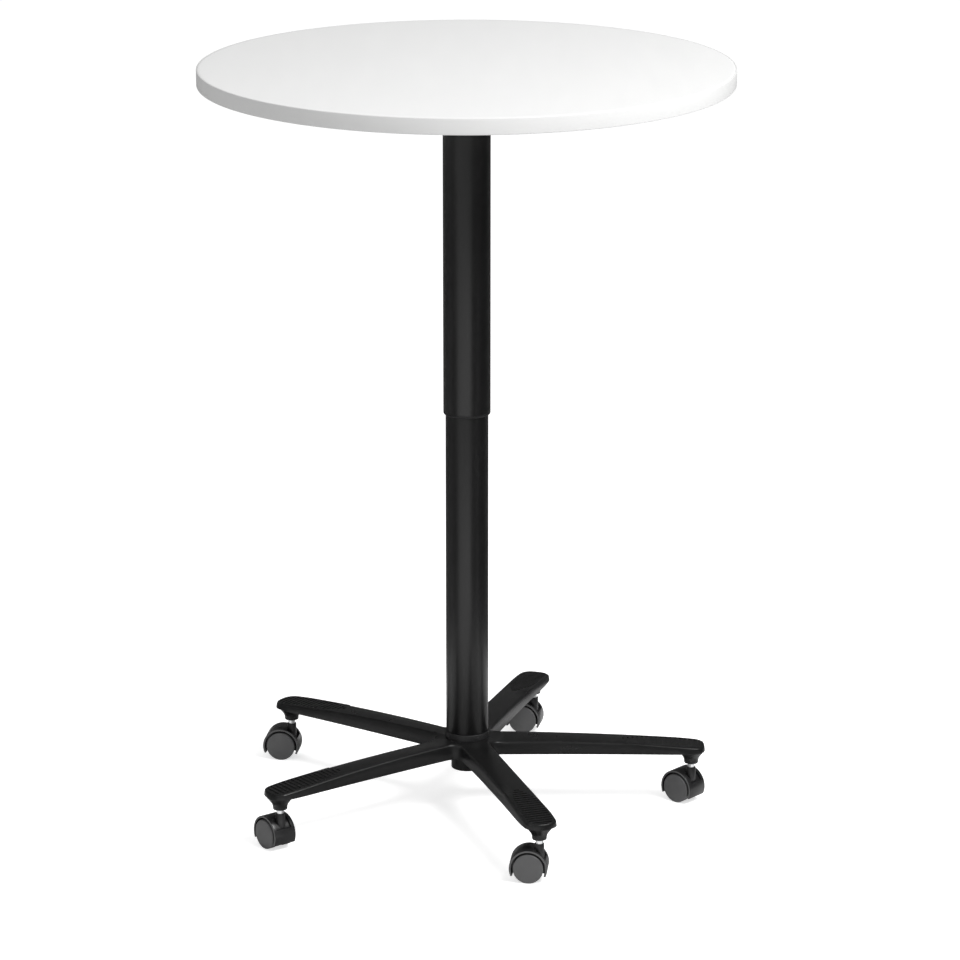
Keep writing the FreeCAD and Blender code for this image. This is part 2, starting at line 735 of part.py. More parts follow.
def facet_cutter():
    """What is cut from one arm for the tilted facet, which narrows from the hub to a blunt end."""
    slope = tan(radians(size("facet_fall")))
    side = -(size("arm_root_width") / 2 + size("overrun"))
    reach = size("facet_end") - size("facet_start")
    count = int(size("facet_step_count"))
    sections = []
    for k in range(count + 1):
        out = size("facet_start") + reach * k / count
        if out < size("facet_waist_radius"):
            share = (out - size("facet_start")) / (size("facet_waist_radius") - size("facet_start"))
            edge = size("facet_root_offset") + share * (
                size("facet_waist_offset") - size("facet_root_offset"))
        else:
            share = (out - size("facet_waist_radius")) / (
                size("facet_end") - size("facet_waist_radius"))
            edge = size("facet_waist_offset") - share * (
                size("facet_waist_offset") + size("facet_end_offset"))
        top = crown_height(out)
        above = top + size("overrun")
        corners = [Vector(out, edge, top), Vector(out, side, top - slope * (edge - side)),
                   Vector(out, side, above), Vector(out, edge, above)]
        sections.append(Part.makePolygon(corners + corners[:1]))
    return Part.makeLoft(sections, True, True)


def pad_half_length(out):
    """Half the length of a groove of the ribbed pad at a radius."""
    full = size("arm_shoulder_width") / 2 - size("pad_edge_margin")
    nose = min((out - size("pad_start")) / size("pad_nose_length"), 1)
    share = sin(nose * pi / 2)
    return size("pad_nose_half_width") + (full - size("pad_nose_half_width")) * share


def pad_cutters():
    """The grooves across one arm's ribbed pad."""
    count = int(size("pad_groove_count"))
    width = size("pad_groove_width")
    grooves = []
    for k in range(count):
        out = size("pad_start") + (size("pad_end") - size("pad_start")) * k / (count - 1)
        half = pad_half_length(out)
        tip_left = max(size("arm_reach") - size("pad_edge_margin") - out, 0)
        round_tip = size("arm_tip_round_length")
        if tip_left < round_tip:
            half *= sqrt(1 - ((round_tip - tip_left) / round_tip) ** 2 / 2)
        corner = Vector(out - width / 2, -half, crown_height(out) - size("pad_groove_depth"))
        grooves.append(Part.makeBox(width, 2 * half, size("overrun"), corner))
    return grooves


def cavity_cutters():
    """The bays between the ribs on the underside of one arm."""
    bays = []
    count = int(size("cavity_rib_count")) + 1
    start, end = size("cavity_start"), size("cavity_end")
    rib = size("cavity_rib_thickness")
    pitch = (end - start + rib) / count
    low = size("arm_underside") - size("overrun")
    high = size("hub_top")
    half = size("arm_waist_width") / 2 - size("cavity_wall")
    top_half = half - size("arm_wall_lean")
    for k in range(count):
        near_end = start + k * pitch
        far_end = near_end + pitch - rib
        sections = []
        for height, across in ((low, half), (high, top_half)):
            corners = [Vector(near_end, -across, height), Vector(far_end, -across, height),
                       Vector(far_end, across, height), Vector(near_end, across, height)]
            sections.append(Part.makePolygon(corners + corners[:1]))
        bays.append(Part.makeLoft(sections, True, True))
    room = under_crown(size("cavity_skin"), low)
    return [bay.common(room) for bay in bays]


def castor_boss():
    """The trumpet-shaped boss under the tip of one arm."""
    rim = size("socket_rim_radius")
    low = size("socket_bottom")
    flare = size("socket_flare_radius")
    reach = size("socket_flare_reach")
    edge = size("socket_rim_round")
    swing = radians(size("socket_flare_angle"))
    start = low + size("socket_rim_height")
    top = size("arm_underside") + size("socket_overlap")
    points = [Vector(rim + flare * (1 - cos(angle)), 0, start + flare * sin(angle))
              for angle in (0, swing / 2, swing)]
    lip = Vector(reach, 0, points[-1].z + (reach - points[-1].x) / tan(swing))
    bow = edge * (1 - sqrt(1 / 2))
    edges = [
        Part.LineSegment(Vector(0, 0, low), Vector(rim - edge, 0, low)).toShape(),
        Part.Arc(Vector(rim - edge, 0, low), Vector(rim - bow, 0, low + bow),
                 Vector(rim, 0, low + edge)).toShape(),
        Part.LineSegment(Vector(rim, 0, low + edge), points[0]).toShape(),
        Part.Arc(*points).toShape(),
        Part.LineSegment(points[-1], lip).toShape(),
        Part.LineSegment(lip, Vector(reach, 0, top)).toShape(),
        Part.LineSegment(Vector(reach, 0, top), Vector(0, 0, top)).toShape(),
        Part.LineSegment(Vector(0, 0, top), Vector(0, 0, low)).toShape()]
    boss = Part.Face(Part.Wire(edges)).revolve(Vector(0, 0, 0), Vector(0, 0, 1), degrees(2 * pi))
    boss.translate(Vector(size("castor_circle_radius"), 0, 0))
    return boss


def all_round(shapes):
    """The shapes, copied to every arm."""
    count = int(size("arm_count"))
    copies = []
    for k in range(count):
        for shape in shapes:
            copy = shape.copy()
            copy.rotate(Vector(0, 0, 0), Vector(0, 0, 1), k * degrees(2 * pi) / count)
            copies.append(copy)
    return copies


def rim_edges(shape):
    """The edges between the walls of the arms and their tops."""
    chosen = []
    for edge in shape.Edges:
        middle = edge.valueAt((edge.FirstParameter + edge.LastParameter) / 2)
        rises = []
        for face in shape.ancestorsOfType(edge, Part.Face):
            rises.append(abs(face.normalAt(*face.Surface.parameter(middle)).z))
        above = edge.BoundBox.ZMin > size("arm_underside") + size("match_tolerance")
        if above and min(rises) < WALL_RISE_SHARE < max(rises):
            chosen.append(edge)
    return chosen


def star_base():
    low, high = size("arm_underside"), size("hub_top")
    rise = high + size("overrun")
    lean = size("arm_wall_lean") / (high - low)
    walls = Part.makeLoft(
        [star_outline(0, low), star_outline(lean * (rise - low), rise)], True, True)
    casting = walls.common(under_crown(0, low))
    casting = casting.makeFillet(size("arm_edge_round"), rim_edges(casting))
    cutters = all_round([facet_cutter()] + pad_cutters() + cavity_cutters())
    casting = casting.cut(cutters)
    hub_boss = Part.makeCylinder(
        size("boss_radius"), low - size("boss_bottom") + size("overrun"),
        Vector(0, 0, size("boss_bottom")))
    casting = casting.fuse([hub_boss] + all_round([castor_boss()]))
    bores = [
        Part.makeCylinder(size("lower_tube_radius"), size("hub_top"),
                          Vector(0, 0, size("tube_recess_floor"))),
        Part.makeCone(size("foot_spigot_tip_radius"), size("foot_spigot_radius"),
                      size("tube_recess_floor") - size("foot_spigot_tip"),
                      Vector(0, 0, size("foot_spigot_tip"))),
        Part.makeCylinder(size("boss_bore_radius"), size("foot_spigot_tip") - size("boss_bottom"),
                          Vector(0, 0, size("boss_bottom")))]
    socket = Part.makeCylinder(
        size("socket_bore_radius"), size("socket_bore_depth"),
        Vector(size("castor_circle_radius"), 0, size("socket_bottom")))
    casting = casting.cut(bores + all_round([socket])).removeSplitter()
    made = doc.addObject("Part::Feature", "star_base")
    made.Shape = casting
    piece(made, "star_base")

    outside = Part.makeCylinder(size("socket_bore_radius"), size("socket_bore_depth"))
    inside = Part.makeCylinder(size("stem_radius"), size("socket_bore_depth"))
    sleeve = outside.cut(inside)
    sleeve.translate(Vector(size("castor_circle_radius"), 0, size("socket_bottom")))
    group = doc.addObject("Part::Feature", "castor_grip_sleeves")
    group.Shape = Part.makeCompound(all_round([sleeve]))
    piece(group, "castor_grip_sleeves")


# Castors: a chrome stem, a hood that swivels about it, an axle and two wheels
def castor_stem(place, where):
    top = "(socket_bottom + socket_bore_depth)"
    stem = turned(place + "_castor_stem", [
        ("0", "stem_seat_bottom"), ("stem_radius", "stem_seat_bottom"),
        ("stem_radius", "socket_bottom - stem_collar_height"),
        ("stem_collar_radius", "socket_bottom - stem_collar_height"),
        ("stem_collar_radius", "socket_bottom"), ("stem_radius", "socket_bottom"),
        ("stem_radius", top), ("0", top)])
    stem.Placement = where


def draw_scoop(hood, kind, inner, margin, width):
    """A pad or pocket across the hood's shell beside the neck, from a radius outward."""
    drawing = sketch_on(hood, "XZ_Plane")
    outer = "(hood_radius - hood_wall / 2)" if kind == "Pad" else "(hood_radius + overrun)"
    inner = "(%s)" % inner
    low = "(hood_scoop_low - %s)" % margin
    back = "(hood_scoop_back + %s)" % margin
    at_low = "castor_trail - sqrt(%s ^ 2 - (%s - wheel_radius) ^ 2)"
    at_back = "wheel_radius + sqrt(%s ^ 2 - (castor_trail - %s) ^ 2)"
    draw_outline(drawing, [
        (at_low % (outer, low), low, outer, 1), (back, at_back % (outer, back)),
        (back, at_back % (inner, back), inner, -1), (at_low % (inner, low), low)])
    feature(hood, kind, drawing, width, middle=True)


def castor_hood(place, where):
    hood = body(place + "_castor_hood")
    inner = "(hood_radius - hood_wall)"
    shell = sketch_on(hood, "XZ_Plane")
    draw_circle(shell, "castor_trail", "wheel_radius", "hood_radius")
    draw_circle(shell, "castor_trail", "wheel_radius", inner)
    feature(hood, "Pad", shell, "hood_width", middle=True)
    web = sketch_on(hood, "XZ_Plane")
    draw_circle(web, "castor_trail", "wheel_radius", "hood_radius - hood_wall / 2")
    feature(hood, "Pad", web, "hood_web", middle=True)
    mouth = sketch_on(hood, "XZ_Plane")
    across = "2 * hood_radius"
    skirt = "wheel_radius - 2 * hood_radius * tan(hood_skirt_angle)"
    draw_outline(mouth, [
        ("castor_trail", "wheel_radius"), ("castor_trail - " + across, skirt),
        ("castor_trail - " + across, "wheel_radius - " + across),
        ("castor_trail + " + across, "wheel_radius - " + across),
        ("castor_trail + " + across, skirt)])
    feature(hood, "Pocket", mouth, "hood_width + overrun", middle=True)
    draw_scoop(hood, "Pad", "hood_radius - hood_scoop_depth - hood_scoop_skin",
               "hood_backing_margin", "hood_scoop_width")
    draw_scoop(hood, "Pocket", "hood_radius - hood_scoop_depth", "0", "hood_scoop_width")
    lobe = sketch_on(hood, "XZ_Plane")
    draw_circle(lobe, "castor_trail", "wheel_radius", "hood_lobe_radius")
    feature(hood, "Pad", lobe, "hood_web", middle=True)
    revolve(hood, [
        ("0", "neck_bottom"), ("neck_root_radius", "neck_bottom"), ("neck_top_radius", "neck_top"),
        ("0", "neck_top")])
    bore = sketch_on(hood, "XY_Plane", "neck_top")
    draw_circle(bore, "0", "0", "stem_radius + swivel_clearance")
    feature(hood, "Pocket", bore, "neck_top - stem_seat_bottom + stem_end_gap")
    hole = sketch_on(hood, "XZ_Plane")
    draw_circle(hole, "castor_trail", "wheel_radius", "axle_radius")
    feature(hood, "Pocket", hole, "hood_web", middle=True)
    hood.Placement = where


def castor_axle(place, where):
    axle = doc.addObject("Part::Cylinder", place + "_castor_axle")
    axle.setExpression("Radius", bound("axle_radius"))
    length = "2 * (%s + wheel_width - axle_end_gap)" % WHEEL_INNER_FACE
    axle.setExpression("Height", bound(length))
    across = Placement(Vector(size("castor_trail"), -value(length) / 2, size("wheel_radius")),
                       Rotation(Vector(1, 0, 0), -degrees(pi / 2)))
    axle.Placement = where.multiply(across)
    piece(axle, place + "_castor_axle")


def castor_wheel(place, side, turn, where):
    bore = "(axle_radius + wheel_clearance)"
    blind = "(wheel_width - wheel_skin)"
    disc = "(wheel_radius - wheel_tread_round - wheel_dome_margin)"
    dome = "(%s ^ 2 + wheel_dome ^ 2) / (2 * wheel_dome)" % disc
    shoulder = "wheel_width - wheel_tread_round"
    wheel = turned(place + "_castor_wheel_" + side, [
        ("0", blind), (bore, blind), (bore, "0"), ("wheel_hub_radius", "0"),
        ("wheel_hub_radius", "wheel_recess_depth"), ("wheel_rim_inner", "wheel_recess_depth"),
        ("wheel_rim_inner", "0"), ("wheel_radius - wheel_tread_round / 2", "0"),
        ("wheel_radius", "wheel_tread_round / 2"),
        ("wheel_radius", shoulder, "wheel_tread_round", -1),
        ("wheel_radius - wheel_tread_round", "wheel_width"), (disc, "wheel_width", dome, -1),
        ("0", "wheel_width + wheel_dome")])
    reach = value(WHEEL_INNER_FACE) * turn
    across = Placement(Vector(size("castor_trail"), reach, size("wheel_radius")),
                       Rotation(Vector(1, 0, 0), -turn * degrees(pi / 2)))
    wheel.Placement = where.multiply(across)


def castors():
    for k, place in enumerate(CASTOR_PLACES):
        centre = polar(size("castor_circle_radius"), 2 * pi * k / size("arm_count"))
        where = Placement(centre, Rotation(Vector(0, 0, 1), size("swivel_" + place)))
        castor_stem(place, where)
        castor_hood(place, where)
        castor_axle(place, where)
        castor_wheel(place, "left", 1, where)
        castor_wheel(place, "right", -1, where)


def check_and_write():
    """Stops at any failed object, then writes one file for each sub-part."""
    doc.recompute()
    for item in doc.Objects:
        if "Invalid" in item.State or "Error" in item.State:
            raise RuntimeError("failed object " + item.Name)
    os.makedirs("parts", exist_ok=True)
    for made in PIECES:
        shape = made.Shape
        if shape.isNull() or not shape.isValid() or not shape.Solids:
            raise RuntimeError("bad shape " + made.Label)
        print("%-30s solids %d volume %.0f" % (made.Label, len(shape.Solids), shape.Volume))
        shape.exportStep("parts/" + made.Label + ".step")


table_top()
mounting_plate()
column_head()
upper_column()
gas_spring()
release_lever()
lower_column()
star_base()
castors()
check_and_write()
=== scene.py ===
import json
import math

import bmesh
import bpy
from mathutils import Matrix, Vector

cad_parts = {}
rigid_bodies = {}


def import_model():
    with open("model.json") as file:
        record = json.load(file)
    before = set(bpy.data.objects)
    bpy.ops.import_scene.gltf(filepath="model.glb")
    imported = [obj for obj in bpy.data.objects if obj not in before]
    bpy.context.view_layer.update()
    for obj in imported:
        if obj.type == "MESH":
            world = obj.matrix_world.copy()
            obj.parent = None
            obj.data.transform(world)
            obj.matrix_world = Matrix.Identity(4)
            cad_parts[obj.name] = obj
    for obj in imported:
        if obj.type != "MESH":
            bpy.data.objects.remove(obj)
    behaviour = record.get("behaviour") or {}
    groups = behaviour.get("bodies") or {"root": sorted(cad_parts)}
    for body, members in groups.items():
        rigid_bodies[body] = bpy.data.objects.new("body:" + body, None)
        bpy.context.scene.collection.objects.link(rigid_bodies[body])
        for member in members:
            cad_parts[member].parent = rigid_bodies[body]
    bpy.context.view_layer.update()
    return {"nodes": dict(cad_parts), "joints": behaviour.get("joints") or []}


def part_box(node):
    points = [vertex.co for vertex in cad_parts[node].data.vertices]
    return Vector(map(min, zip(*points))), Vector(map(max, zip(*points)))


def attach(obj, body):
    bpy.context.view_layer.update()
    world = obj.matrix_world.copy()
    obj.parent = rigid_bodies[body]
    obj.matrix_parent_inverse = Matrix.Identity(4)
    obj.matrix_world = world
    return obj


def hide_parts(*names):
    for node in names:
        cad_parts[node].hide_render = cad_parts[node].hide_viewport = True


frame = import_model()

bpy.ops.object.select_all(action="DESELECT")


# Round board of the top: wood chips pressed to 22.8 mm and faced with white melamine on both sides.
# It is cut round on a router, and its arrises are only just broken.
def start(piece_name):
    """Names the primitive that was just added, sets its place in its mesh, and opens it to edit."""
    piece = bpy.context.object
    piece.name = piece_name
    bpy.ops.object.transform_apply(location=True, rotation=True, scale=True)
    bpy.ops.object.mode_set(mode="EDIT")
    return piece


def pick(kind, wanted):
    """Selects the corners, edges or faces of the piece in hand that wanted says yes to."""
    bpy.ops.mesh.select_mode(type={"verts": "VERT", "edges": "EDGE", "faces": "FACE"}[kind])
    bpy.ops.mesh.select_all(action="DESELECT")
    mesh = bmesh.from_edit_mesh(bpy.context.object.data)
    for part in getattr(mesh, kind):
        if wanted(part):
            part.select_set(True)
    bmesh.update_edit_mesh(bpy.context.object.data)


def centre_of(part):
    """The middle of an edge or a face."""
    return sum((corner.co for corner in part.verts), Vector()) / len(part.verts)


def turned(piece_name, rings, steps, caps):
    """A piece turned on a lathe: a circle drawn out through rings of radius and height.
    The caps are ends to fill, and a last ring like the first closes the wall on itself."""
    radius, height = rings[0]
    bpy.ops.mesh.primitive_circle_add(vertices=steps, radius=radius, location=(0, 0, height))
    piece = start(piece_name)
    bpy.ops.mesh.select_all(action="SELECT")
    for wider, higher in rings[1:]:
        bpy.ops.mesh.extrude_edges_move()
        bpy.ops.transform.resize(value=(wider / radius, wider / radius, 1),
                                 center_override=(0, 0, 0))
        bpy.ops.transform.translate(value=(0, 0, higher - height))
        radius, height = wider, higher
    for end in caps:
        ring_radius, ring_height = rings[end]
        pick("edges", lambda edge: len(edge.link_faces) == 1
             and abs(centre_of(edge).z - ring_height) < 1e-5
             and abs(edge.verts[0].co.xy.length - ring_radius) < 1e-5)
        bpy.ops.mesh.edge_face_add()
    bpy.ops.mesh.select_all(action="SELECT")
    bpy.ops.mesh.remove_doubles(threshold=1e-6)
    bpy.ops.mesh.normals_make_consistent(inside=False)
    bpy.ops.object.mode_set(mode="OBJECT")
    return piece


def break_arrises(piece, width, segments, angle):
    """Rounds each edge that is sharper than the angle, and shades the piece smooth between them."""
    bpy.context.view_layer.objects.active = piece
    arris = piece.modifiers.new("arris", "BEVEL")
    arris.width = width
    arris.segments = segments
    arris.limit_method = "ANGLE"
    arris.angle_limit = math.radians(angle)
    arris.use_clamp_overlap = True
    bpy.ops.object.modifier_apply(modifier=arris.name)
    shade(piece, angle)


def shade(piece, angle):
    bpy.ops.object.select_all(action="DESELECT")
    piece.select_set(True)
    bpy.context.view_layer.objects.active = piece
    bpy.ops.object.shade_smooth_by_angle(angle=math.radians(angle))
    piece.select_set(False)


def surface_group(group_name, inputs, outputs):
    """An empty node group with the named inputs, each with its usual value, and outputs."""
    group = bpy.data.node_groups.new(group_name, "ShaderNodeTree")
    for socket_name, usual in inputs.items():
        socket = group.interface.new_socket(socket_name, in_out="INPUT",
                                            socket_type="NodeSocketFloat")
        socket.default_value = usual
    for socket_name in outputs:
        group.interface.new_socket(socket_name, in_out="OUTPUT", socket_type="NodeSocketFloat")
    return group, group.nodes.new("NodeGroupInput"), group.nodes.new("NodeGroupOutput")


def use_group(finish, group, **values):
    """Places a node group in a material, with its own values."""
    node = finish.node_tree.nodes.new("ShaderNodeGroup")
    node.node_tree = group
    for socket_name, amount in values.items():
        node.inputs[socket_name].default_value = amount
    return node


def new_finish(finish_name, gloss_level):
    """A material with its Principled shader, whose specular level is set on the socket."""
    finish = bpy.data.materials.new(finish_name)
    finish.use_nodes = True
    shader = finish.node_tree.nodes["Principled BSDF"]
    shader.inputs["Specular IOR Level"].default_value = gloss_level
    return finish, shader


def between(finish, mask, low, high, target):
    """Feeds a shader's number from a mask, spread between two values."""
    spread = finish.node_tree.nodes.new("ShaderNodeMapRange")
    spread.inputs["To Min"].default_value = low
    spread.inputs["To Max"].default_value = high
    finish.node_tree.links.new(mask, spread.inputs["Value"])
    finish.node_tree.links.new(spread.outputs["Result"], target)


def blend_colours(finish, mask, first, second, target):
    """Feeds a colour from a mask, between two colours."""
    mix = finish.node_tree.nodes.new("ShaderNodeMix")
    mix.data_type = "RGBA"
    mix.inputs["A"].default_value = (*first, 1)
    mix.inputs["B"].default_value = (*second, 1)
    finish.node_tree.links.new(mask, mix.inputs["Factor"])
    finish.node_tree.links.new(mix.outputs["Result"], target)


def relief(finish, height, depth, target):
    """Feeds a shader's normal from a height, in metres of depth."""
    bump = finish.node_tree.nodes.new("ShaderNodeBump")
    bump.inputs["Distance"].default_value = depth
    finish.node_tree.links.new(height, bump.inputs["Height"])
    finish.node_tree.links.new(bump.outputs["Normal"], target)


pebble, pebble_in, pebble_out = surface_group(
    "pebble_grain", {"Pebbles per metre": 900, "Roughening": 0.5}, ("Height", "Tone"))
place = pebble.nodes.new("ShaderNodeTexCoord")
pebbles = pebble.nodes.new("ShaderNodeTexVoronoi")
pebbles.feature = "SMOOTH_F1"
speckle = pebble.nodes.new("ShaderNodeTexNoise")
speckle.inputs["Detail"].default_value = 3
double = pebble.nodes.new("ShaderNodeMath")
double.operation = "MULTIPLY"
double.inputs[1].default_value = 2.3
join = pebble.nodes.new("ShaderNodeMix")
pebble.links.new(place.outputs["Object"], pebbles.inputs["Vector"])
pebble.links.new(place.outputs["Object"], speckle.inputs["Vector"])
pebble.links.new(pebble_in.outputs["Pebbles per metre"], pebbles.inputs["Scale"])
pebble.links.new(pebble_in.outputs["Pebbles per metre"], double.inputs[0])
pebble.links.new(double.outputs["Value"], speckle.inputs["Scale"])
pebble.links.new(pebble_in.outputs["Roughening"], join.inputs["Factor"])
pebble.links.new(pebbles.outputs["Distance"], join.inputs["A"])
pebble.links.new(speckle.outputs["Fac"], join.inputs["B"])
pebble.links.new(join.outputs["Result"], pebble_out.inputs["Height"])
pebble.links.new(speckle.outputs["Fac"], pebble_out.inputs["Tone"])

handling, handling_in, handling_out = surface_group(
    "handling_marks", {"Marks per metre": 9, "Streaks per metre": 120}, ("Smudge", "Streak"))
place = handling.nodes.new("ShaderNodeTexCoord")
smudge = handling.nodes.new("ShaderNodeTexNoise")
smudge.inputs["Detail"].default_value = 5
smudge.inputs["Roughness"].default_value = 0.6
smudge.inputs["Distortion"].default_value = 0.4
stretch = handling.nodes.new("ShaderNodeMapping")
stretch.inputs["Rotation"].default_value = (0, 0, math.radians(31))
stretch.inputs["Scale"].default_value = (1, 0.12, 0.4)
streak = handling.nodes.new("ShaderNodeTexNoise")
streak.inputs["Detail"].default_value = 2
handling.links.new(place.outputs["Object"], smudge.inputs["Vector"])
handling.links.new(handling_in.outputs["Marks per metre"], smudge.inputs["Scale"])
handling.links.new(place.outputs["Object"], stretch.inputs["Vector"])
handling.links.new(stretch.outputs["Vector"], streak.inputs["Vector"])
handling.links.new(handling_in.outputs["Streaks per metre"], streak.inputs["Scale"])
handling.links.new(smudge.outputs["Fac"], handling_out.inputs["Smudge"])
handling.links.new(streak.outputs["Fac"], handling_out.inputs["Streak"])

board_radius = 0.379
board_low, board_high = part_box("table_top_panel")[0].z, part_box("table_top_panel")[1].z
board = turned("top_board", [(board_radius, board_low), (board_radius, board_high)], 256, (0, 1))
bpy.context.view_layer.objects.active = board
bpy.ops.object.mode_set(mode="EDIT")
pick("faces", lambda face: abs(face.normal.z) > 0.9)
for margin in (0.004, 0.02, 0.06, 0.12):
    bpy.ops.mesh.inset(thickness=margin, use_individual=True)
bpy.ops.object.mode_set(mode="OBJECT")
break_arrises(board, 0.0003, 2, 40)

melamine, shader = new_finish("white_melamine", 0.4)
grain = use_group(melamine, pebble, **{"Pebbles per metre": 1400, "Roughening": 0.35})
marks = use_group(melamine, handling, **{"Marks per metre": 5, "Streaks per metre": 60})
blend_colours(melamine, marks.outputs["Smudge"], (0.86, 0.862, 0.86), (0.885, 0.885, 0.88),
              shader.inputs["Base Color"])
between(melamine, marks.outputs["Streak"], 0.30, 0.42, shader.inputs["Roughness"])
relief(melamine, grain.outputs["Height"], 0.00002, shader.inputs["Normal"])
board.data.materials.append(melamine)
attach(board, "top")
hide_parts("table_top_panel")

# Edge band: a 2 mm strip of white plastic, glued round the board and then rounded over with a
# cutter.  A hair of shadow shows where it meets the faces.
band_inner, band_outer = 0.3792, 0.381
band_round = 0.0012
band = turned("edge_band", [
    (band_inner, board_low), (band_outer, board_low), (band_outer, board_high),
    (band_inner, board_high), (band_inner, board_low)], 256, ())
bpy.context.view_layer.objects.active = band
bpy.ops.object.mode_set(mode="EDIT")
pick("edges", lambda edge: all(corner.co.xy.length > band_outer - 1e-4 for corner in edge.verts)
     and abs(edge.verts[0].co.z - edge.verts[1].co.z) < 1e-6)
bpy.ops.mesh.bevel(offset=band_round, segments=5)
bpy.ops.object.mode_set(mode="OBJECT")
shade(band, 40)

banding, shader = new_finish("white_edge_band", 0.4)
grain = use_group(banding, pebble, **{"Pebbles per metre": 1100, "Roughening": 0.5})
marks = use_group(banding, handling, **{"Marks per metre": 7, "Streaks per metre": 50})
blend_colours(banding, marks.outputs["Smudge"], (0.705, 0.707, 0.705), (0.735, 0.735, 0.73),
              shader.inputs["Base Color"])
between(banding, marks.outputs["Streak"], 0.36, 0.46, shader.inputs["Roughness"])
relief(banding, grain.outputs["Height"], 0.00003, shader.inputs["Normal"])
band.data.materials.append(banding)
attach(band, "top")
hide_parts("table_edge_band")

# Mounting plate and column head: a turned steel plate under the board, and the casting that grips
# the tube and the gas spring below it.  Both are black, one powder coated and one left coarser.
coat, shader = new_finish("black_powder_coat", 0.6)
grain = use_group(coat, pebble, **{"Pebbles per metre": 1500, "Roughening": 0.4})
marks = use_group(coat, handling, **{"Marks per metre": 11})
blend_colours(coat, marks.outputs["Smudge"], (0.0035, 0.0035, 0.0037), (0.0055, 0.0055, 0.0057),
              shader.inputs["Base Color"])
between(coat, marks.outputs["Smudge"], 0.27, 0.36, shader.inputs["Roughness"])
relief(coat, grain.outputs["Height"], 0.00004, shader.inputs["Normal"])

cast_coat, shader = new_finish("black_cast_coat", 0.34)
grain = use_group(cast_coat, pebble, **{"Pebbles per metre": 1100, "Roughening": 0.6})
marks = use_group(cast_coat, handling, **{"Marks per metre": 16})
blend_colours(cast_coat, marks.outputs["Smudge"], (0.0075, 0.0075, 0.0077),
              (0.0105, 0.0105, 0.0107), shader.inputs["Base Color"])
between(cast_coat, marks.outputs["Smudge"], 0.24, 0.34, shader.inputs["Roughness"])
relief(cast_coat, grain.outputs["Height"], 0.00006, shader.inputs["Normal"])


def refinish(node_name, finish):
    """Gives a carried-over CAD node a better material in each of its slots."""
    for slot in frame["nodes"][node_name].material_slots:
        slot.material = finish


refinish("mounting_plate", coat)
refinish("column_head", cast_coat)

# Plate screws: pan-headed zinc-plated screws in a ring round the plate.  One head with its cross
# recess is modelled, and the ring is copies of it.
screw_ring, screw_count = 0.104, 8
screw_low, screw_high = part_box("plate_screws")[0].z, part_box("mounting_plate")[0].z
screw = turned("plate_screw_heads", [
    (0.0021, screw_high + 0.006), (0.0021, screw_high), (0.0046, screw_high),
    (0.0045, screw_low + 0.0014), (0.0038, screw_low + 0.0005), (0.0028, screw_low)], 32, (0, -1))
bpy.ops.mesh.primitive_cube_add(size=1, location=(0, 0, screw_low))
wing = start("screw_recess")
bpy.ops.mesh.select_all(action="SELECT")
bpy.ops.transform.resize(value=(0.0044, 0.0009, 0.003), center_override=(0, 0, screw_low))
bpy.ops.mesh.duplicate()
bpy.ops.transform.rotate(value=math.pi / 2, orient_axis="Z", center_override=(0, 0, screw_low))
bpy.ops.object.mode_set(mode="OBJECT")


def combine(piece, other, operation, crossing=False):
    """Adds another piece to this one, or cuts it out, and takes the other away.
    Corners that the cut leaves doubled are merged.  Crossing says that the other piece has parts
    that run through each other."""
    bpy.context.view_layer.objects.active = piece
    step = piece.modifiers.new("step", "BOOLEAN")
    step.operation = operation
    step.solver = "EXACT"
    step.use_self = crossing
    step.object = other
    bpy.ops.object.modifier_apply(modifier=step.name)
    bpy.data.objects.remove(other)
    bpy.ops.object.mode_set(mode="EDIT")
    bpy.ops.mesh.select_all(action="SELECT")
    bpy.ops.mesh.remove_doubles(threshold=1e-6)
    bpy.ops.object.mode_set(mode="OBJECT")


def copy_round(piece, count, angle):
    """Copies the piece round the upright axis and joins the copies to it."""
    bpy.ops.object.select_all(action="DESELECT")
    piece.select_set(True)
    bpy.context.view_layer.objects.active = piece
    bpy.ops.object.transform_apply(location=True, rotation=True, scale=True)
    made = [piece]
    for k in range(1, count):
        copy = piece.copy()
        copy.data = piece.data.copy()
        bpy.context.collection.objects.link(copy)
        copy.rotation_euler = (0, 0, k * angle)
        made.append(copy)
    for copy in made:
        copy.select_set(True)
    bpy.ops.object.transform_apply(location=True, rotation=True, scale=True)
    bpy.ops.object.join()
    piece.select_set(False)


combine(screw, wing, "DIFFERENCE", crossing=True)
screw.location = (screw_ring, 0, 0)
copy_round(screw, screw_count, 2 * math.pi / screw_count)
shade(screw, 35)

zinc, shader = new_finish("zinc_plate", 0.5)
marks = use_group(zinc, handling, **{"Marks per metre": 300, "Streaks per metre": 4000})
blend_colours(zinc, marks.outputs["Smudge"], (0.42, 0.43, 0.44), (0.58, 0.58, 0.57),
              shader.inputs["Base Color"])
between(zinc, marks.outputs["Streak"], 0.25, 0.42, shader.inputs["Roughness"])
shader.inputs["Metallic"].default_value = 1
screw.data.materials.append(zinc)
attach(screw, "top")
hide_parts("plate_screws")

# Upper tube and its mouth: a drawn steel tube, powder coated black, with a moulded bush pressed
# into its mouth.  The bush's rounded lip is the step halfway down the column.
tube_low, tube_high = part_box("upper_tube")[0].z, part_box("upper_tube")[1].z
upper_radius, upper_bore = 0.0341, 0.0321
tube = turned("upper_column_tube", [
    (upper_radius, tube_low), (upper_radius, tube_high), (upper_bore, tube_high),
    (upper_bore, tube_low), (upper_radius, tube_low)], 128, ())
break_arrises(tube, 0.0004, 3, 40)
tube.data.materials.append(coat)
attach(tube, "top")
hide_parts("upper_tube")

